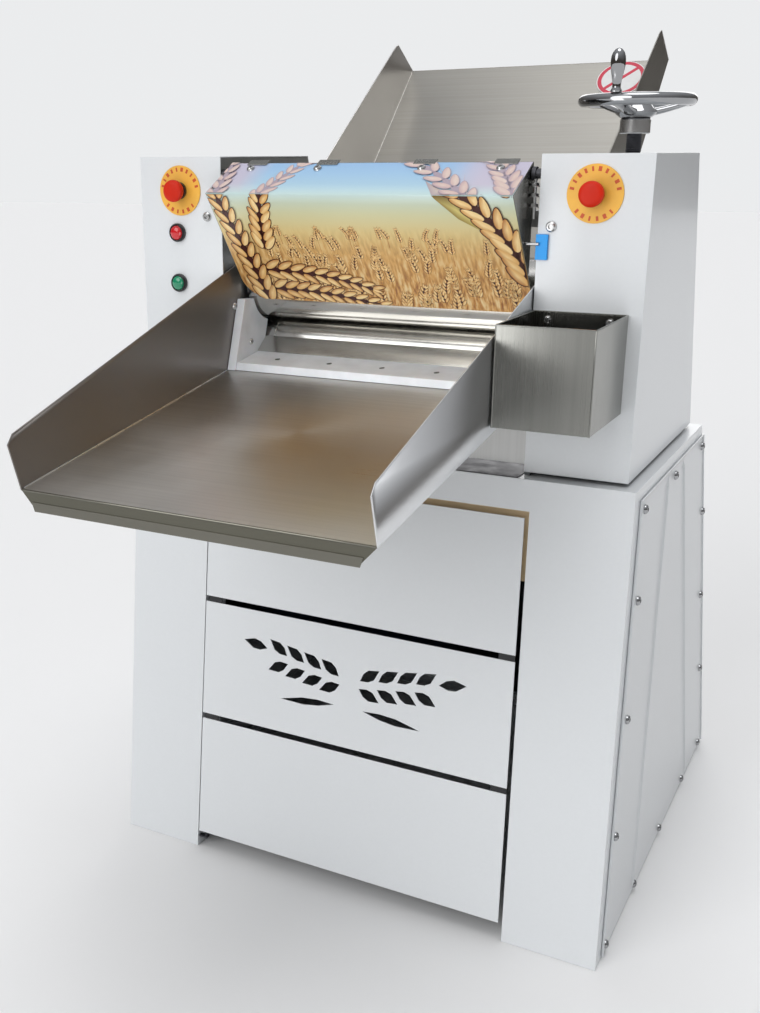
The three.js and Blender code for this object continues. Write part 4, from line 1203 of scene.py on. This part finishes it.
class Print:
    """Flat coloured shapes laid over the guard, each a little above the last layer."""

    def __init__(self):
        self.bm = bmesh.new()
        self.ink = self.bm.loops.layers.float_color.new("ink")

    def shape(self, outline, lift, colours, heart):
        """A fan over an outline of (u, v) in mm, cut in two where the sheet folds."""
        for side in (-1, 1):
            kept = []
            for i, (u, v) in enumerate(outline):
                next_u, next_v = outline[(i + 1) % len(outline)]
                colour = colours[i % len(colours)]
                if (v - FLAP) * side >= 0:
                    kept.append((u, v, colour))
                if (v - FLAP) * (next_v - FLAP) < 0:
                    share = (FLAP - v) / (next_v - v)
                    kept.append((u + (next_u - u) * share, FLAP + PAST_FOLD * (side > 0), colour))
            if len(kept) > 2:
                middle = [sum(point[k] for point in kept) / len(kept) for k in (0, 1)]
                self.fan(kept, (*middle, heart), lift, FLAP_HAZE if side < 0 else 0)

    def fan(self, ring, middle, lift, haze):
        def vert(u, v):
            v = min(max(v, 1.0), GUARD_LENGTH - 2)
            half = picture_half(v) - 1
            return self.bm.verts.new(on_guard(min(max(u, -half), half), v, lift))

        centre = vert(*middle[:2])
        corners = [vert(u, v) for u, v, _ in ring]
        for i, corner in enumerate(corners):
            after = (i + 1) % len(corners)
            face = self.bm.faces.new((centre, corner, corners[after]))
            for loop, colour in zip(face.loops, (middle[2], ring[i][2], ring[after][2])):
                loop[self.ink] = (*blend(colour, HAZE, haze), 1)

    def grain(self, root, angle, length, width, lift, tone, rim):
        """A pointed grain with an inked rim, lit from its upper side."""
        def outline(grow):
            points = []
            for turn in circle(GRAIN_POINTS):
                reach = 0.5 - 0.5 * math.cos(turn)
                across = math.sin(turn) * (width * (1 - 0.35 * reach) * 0.5 + grow)
                points.append(((length + 2 * grow) * reach - grow, across))
            return set_out(root, angle, points)

        self.shape(outline(rim), lift, [INK], INK)
        light, dark = blend(STRAW, PALE, tone), blend(AMBER, STRAW, tone)
        half = GRAIN_POINTS // 2
        self.shape(outline(0), lift + 0.04, [light] * half + [dark] * half, blend(light, PALE, 0.7))

    def awn(self, root, angle, length, lift, colour, width=0.7):
        """A thin spike with its base at the root."""
        self.shape(set_out(root, angle, [(0, -width), (0, width), (length, 0)]), lift, [colour], colour)

    def leaf(self, root, angle, length, width, lift):
        """A dark leaf under an ear's grains."""
        points = [(a * length, b * width) for a, b in LEAF]
        self.shape(set_out(root, angle, points), lift, [INK], INK)

    def ear(self, root, bend, tip, width, lift, draw):
        """An ear of wheat along a curve from its root to its tip, pulled towards a third point."""
        span = math.dist(root, bend) + math.dist(bend, tip)
        pairs = max(3, round(span / (0.40 * width)))
        spots = []
        for i in range(pairs + 1):
            t = i / pairs
            weights = ((1 - t) ** 2, 2 * t * (1 - t), t * t)
            spot = [sum(w * p[k] for w, p in zip(weights, (root, bend, tip))) for k in (0, 1)]
            du, dv = (2 * (1 - t) * (bend[k] - root[k]) + 2 * t * (tip[k] - bend[k]) for k in (0, 1))
            spots.append((spot, math.atan2(-dv, du), width * (1 - 0.35 * t)))
        for spot, heading, size in spots[:-1]:
            self.leaf(spot, heading, 0.7 * size, 0.24 * size, lift)
        for i, (spot, heading, size) in enumerate(spots):
            above = lift + 0.03 + 0.012 * (len(spots) - i)
            rim = 0.03 * size
            for side in (-1, 1):
                lean = heading + side * (GRAIN_LEAN + draw.uniform(-0.07, 0.07))
                foot, = set_out(spot, heading, [(0, -side * GRAIN_FOOT * size)])
                spread = heading + side * draw.uniform(0.15, 0.45)
                self.awn(foot, spread, 1.15 * size, lift, blend(AMBER, PALE, draw.random()))
                self.grain(foot, lean, size * 0.66, size * 0.29, above, draw.uniform(0.0, 0.8), rim)
            if i == pairs:
                tone = draw.uniform(0.5, 1)
                self.grain(spot, heading, size * 0.52, size * 0.2, above + 0.006, tone, rim)


LARGE_EARS = [
    # root, point it bends towards, tip, width
    ((-204, 226), (-190, 130), (-138, 12), 58),
    ((-214, 322), (-110, 320), (-4, 350), 58),
    ((-216, 276), (-100, 276), (-10, 312), 58),
    ((280, 104), (262, 60), (222, 2), 62),
    ((286, 286), (272, 150), (96, 12), 76),
    ((-236, 352), (-248, 180), (-278, 10), 64),
]
SMALL_ROWS = 8                   # rows of small ears across the field
SMALL_EARS = 16                  # ears in each row
FIELD_TOP = 178                  # down the sheet
ROW_STEP = 21
FIELD_HALF = 275
GREEN_LEAF = [(120, 62), (150, 112), (184, 152), (236, 186), (214, 150), (176, 104)]
LEAF_EDGE = [rgb(120, 96, 44), rgb(150, 128, 62), rgb(150, 128, 62), rgb(190, 170, 90)]
LEAF_HEART = rgb(214, 200, 124)


def guard_wheat():
    """A field of small ears with large ones in front of it."""
    draw = random.Random(11)
    printed = Print()
    for row in range(SMALL_ROWS):
        v = FIELD_TOP + row * ROW_STEP
        lift = 0.2 + 0.05 * row
        for _ in range(SMALL_EARS):
            u = draw.uniform(-FIELD_HALF, FIELD_HALF)
            height = draw.uniform(18, 26) + 2 * row
            lean = draw.uniform(-9, 9)
            stalk = blend(AMBER, STRAW, draw.random())
            printed.awn((u, v + height * 2), math.pi / 2, height * 2, lift, stalk)
            middle, tip = (u, v + height / 2), (u + lean, v)
            printed.ear((u, v + height), middle, tip, 13 + 1.6 * row, lift + 0.01, draw)
    printed.shape(GREEN_LEAF, 0.6, LEAF_EDGE, LEAF_HEART)
    for number, (root, bend, tip, width) in enumerate(LARGE_EARS):
        printed.ear(root, bend, tip, width, 0.62 + 0.3 * number, draw)
    piece(printed.bm, "guard_wheat", "guard", "ink", closed=False)


# ---- printed materials and the run
def printed_surface(name):
    """A printed sheet under a thin gloss, and the socket of its printed colours."""
    surface = Surface(name, STRAW, 0.3, Coat_Weight=0.4, Coat_Roughness=0.15)
    return surface, surface.node("ShaderNodeVertexColor", layer_name="ink").outputs["Color"]


def picture_surface():
    """The printed colours, broken up by upright strokes in the field."""
    surface, ink = printed_surface("picture_field")
    surface.coordinates = surface.node("ShaderNodeUVMap", uv_map="picture").outputs["UV"]
    split = surface.node("ShaderNodeSeparateXYZ", {"Vector": surface.coordinates})
    stalks = surface.ramp(surface.noise(1.0, 4.0, (90, 12, 1)), [
        (0.36, rgb(136, 80, 38)), (0.5, rgb(224, 172, 100)), (0.64, rgb(254, 234, 180))])
    return surface.mix(surface.range(split.outputs["Y"], 0.7, 0.0, 0.12, 0.52), ink, stalks)


def ink_surface():
    surface, ink = printed_surface("picture_ink")
    return surface.colour(ink)


make_camera()
make_world()
make_lights()
make_floor()
MATERIALS = make_materials()
for finish, nodes in FINISHES.items():
    for node in nodes:
        dress(node, finish)
side_screws()
rear_screws()
machine_screws()
guard_picture()
guard_wheat()
for where in ("left", "right"):
    legend_marks(where)
guard_fittings()
lead_plate_screws()
operators()
wheel()
warning_sign()
slot_shade_strips()
louvre_hoods()
motor_fins()
side_covers()
front_tray_trim()
rear_tray_trim()
tray_seams()
deck_shade_strip()
flour_box_beads()
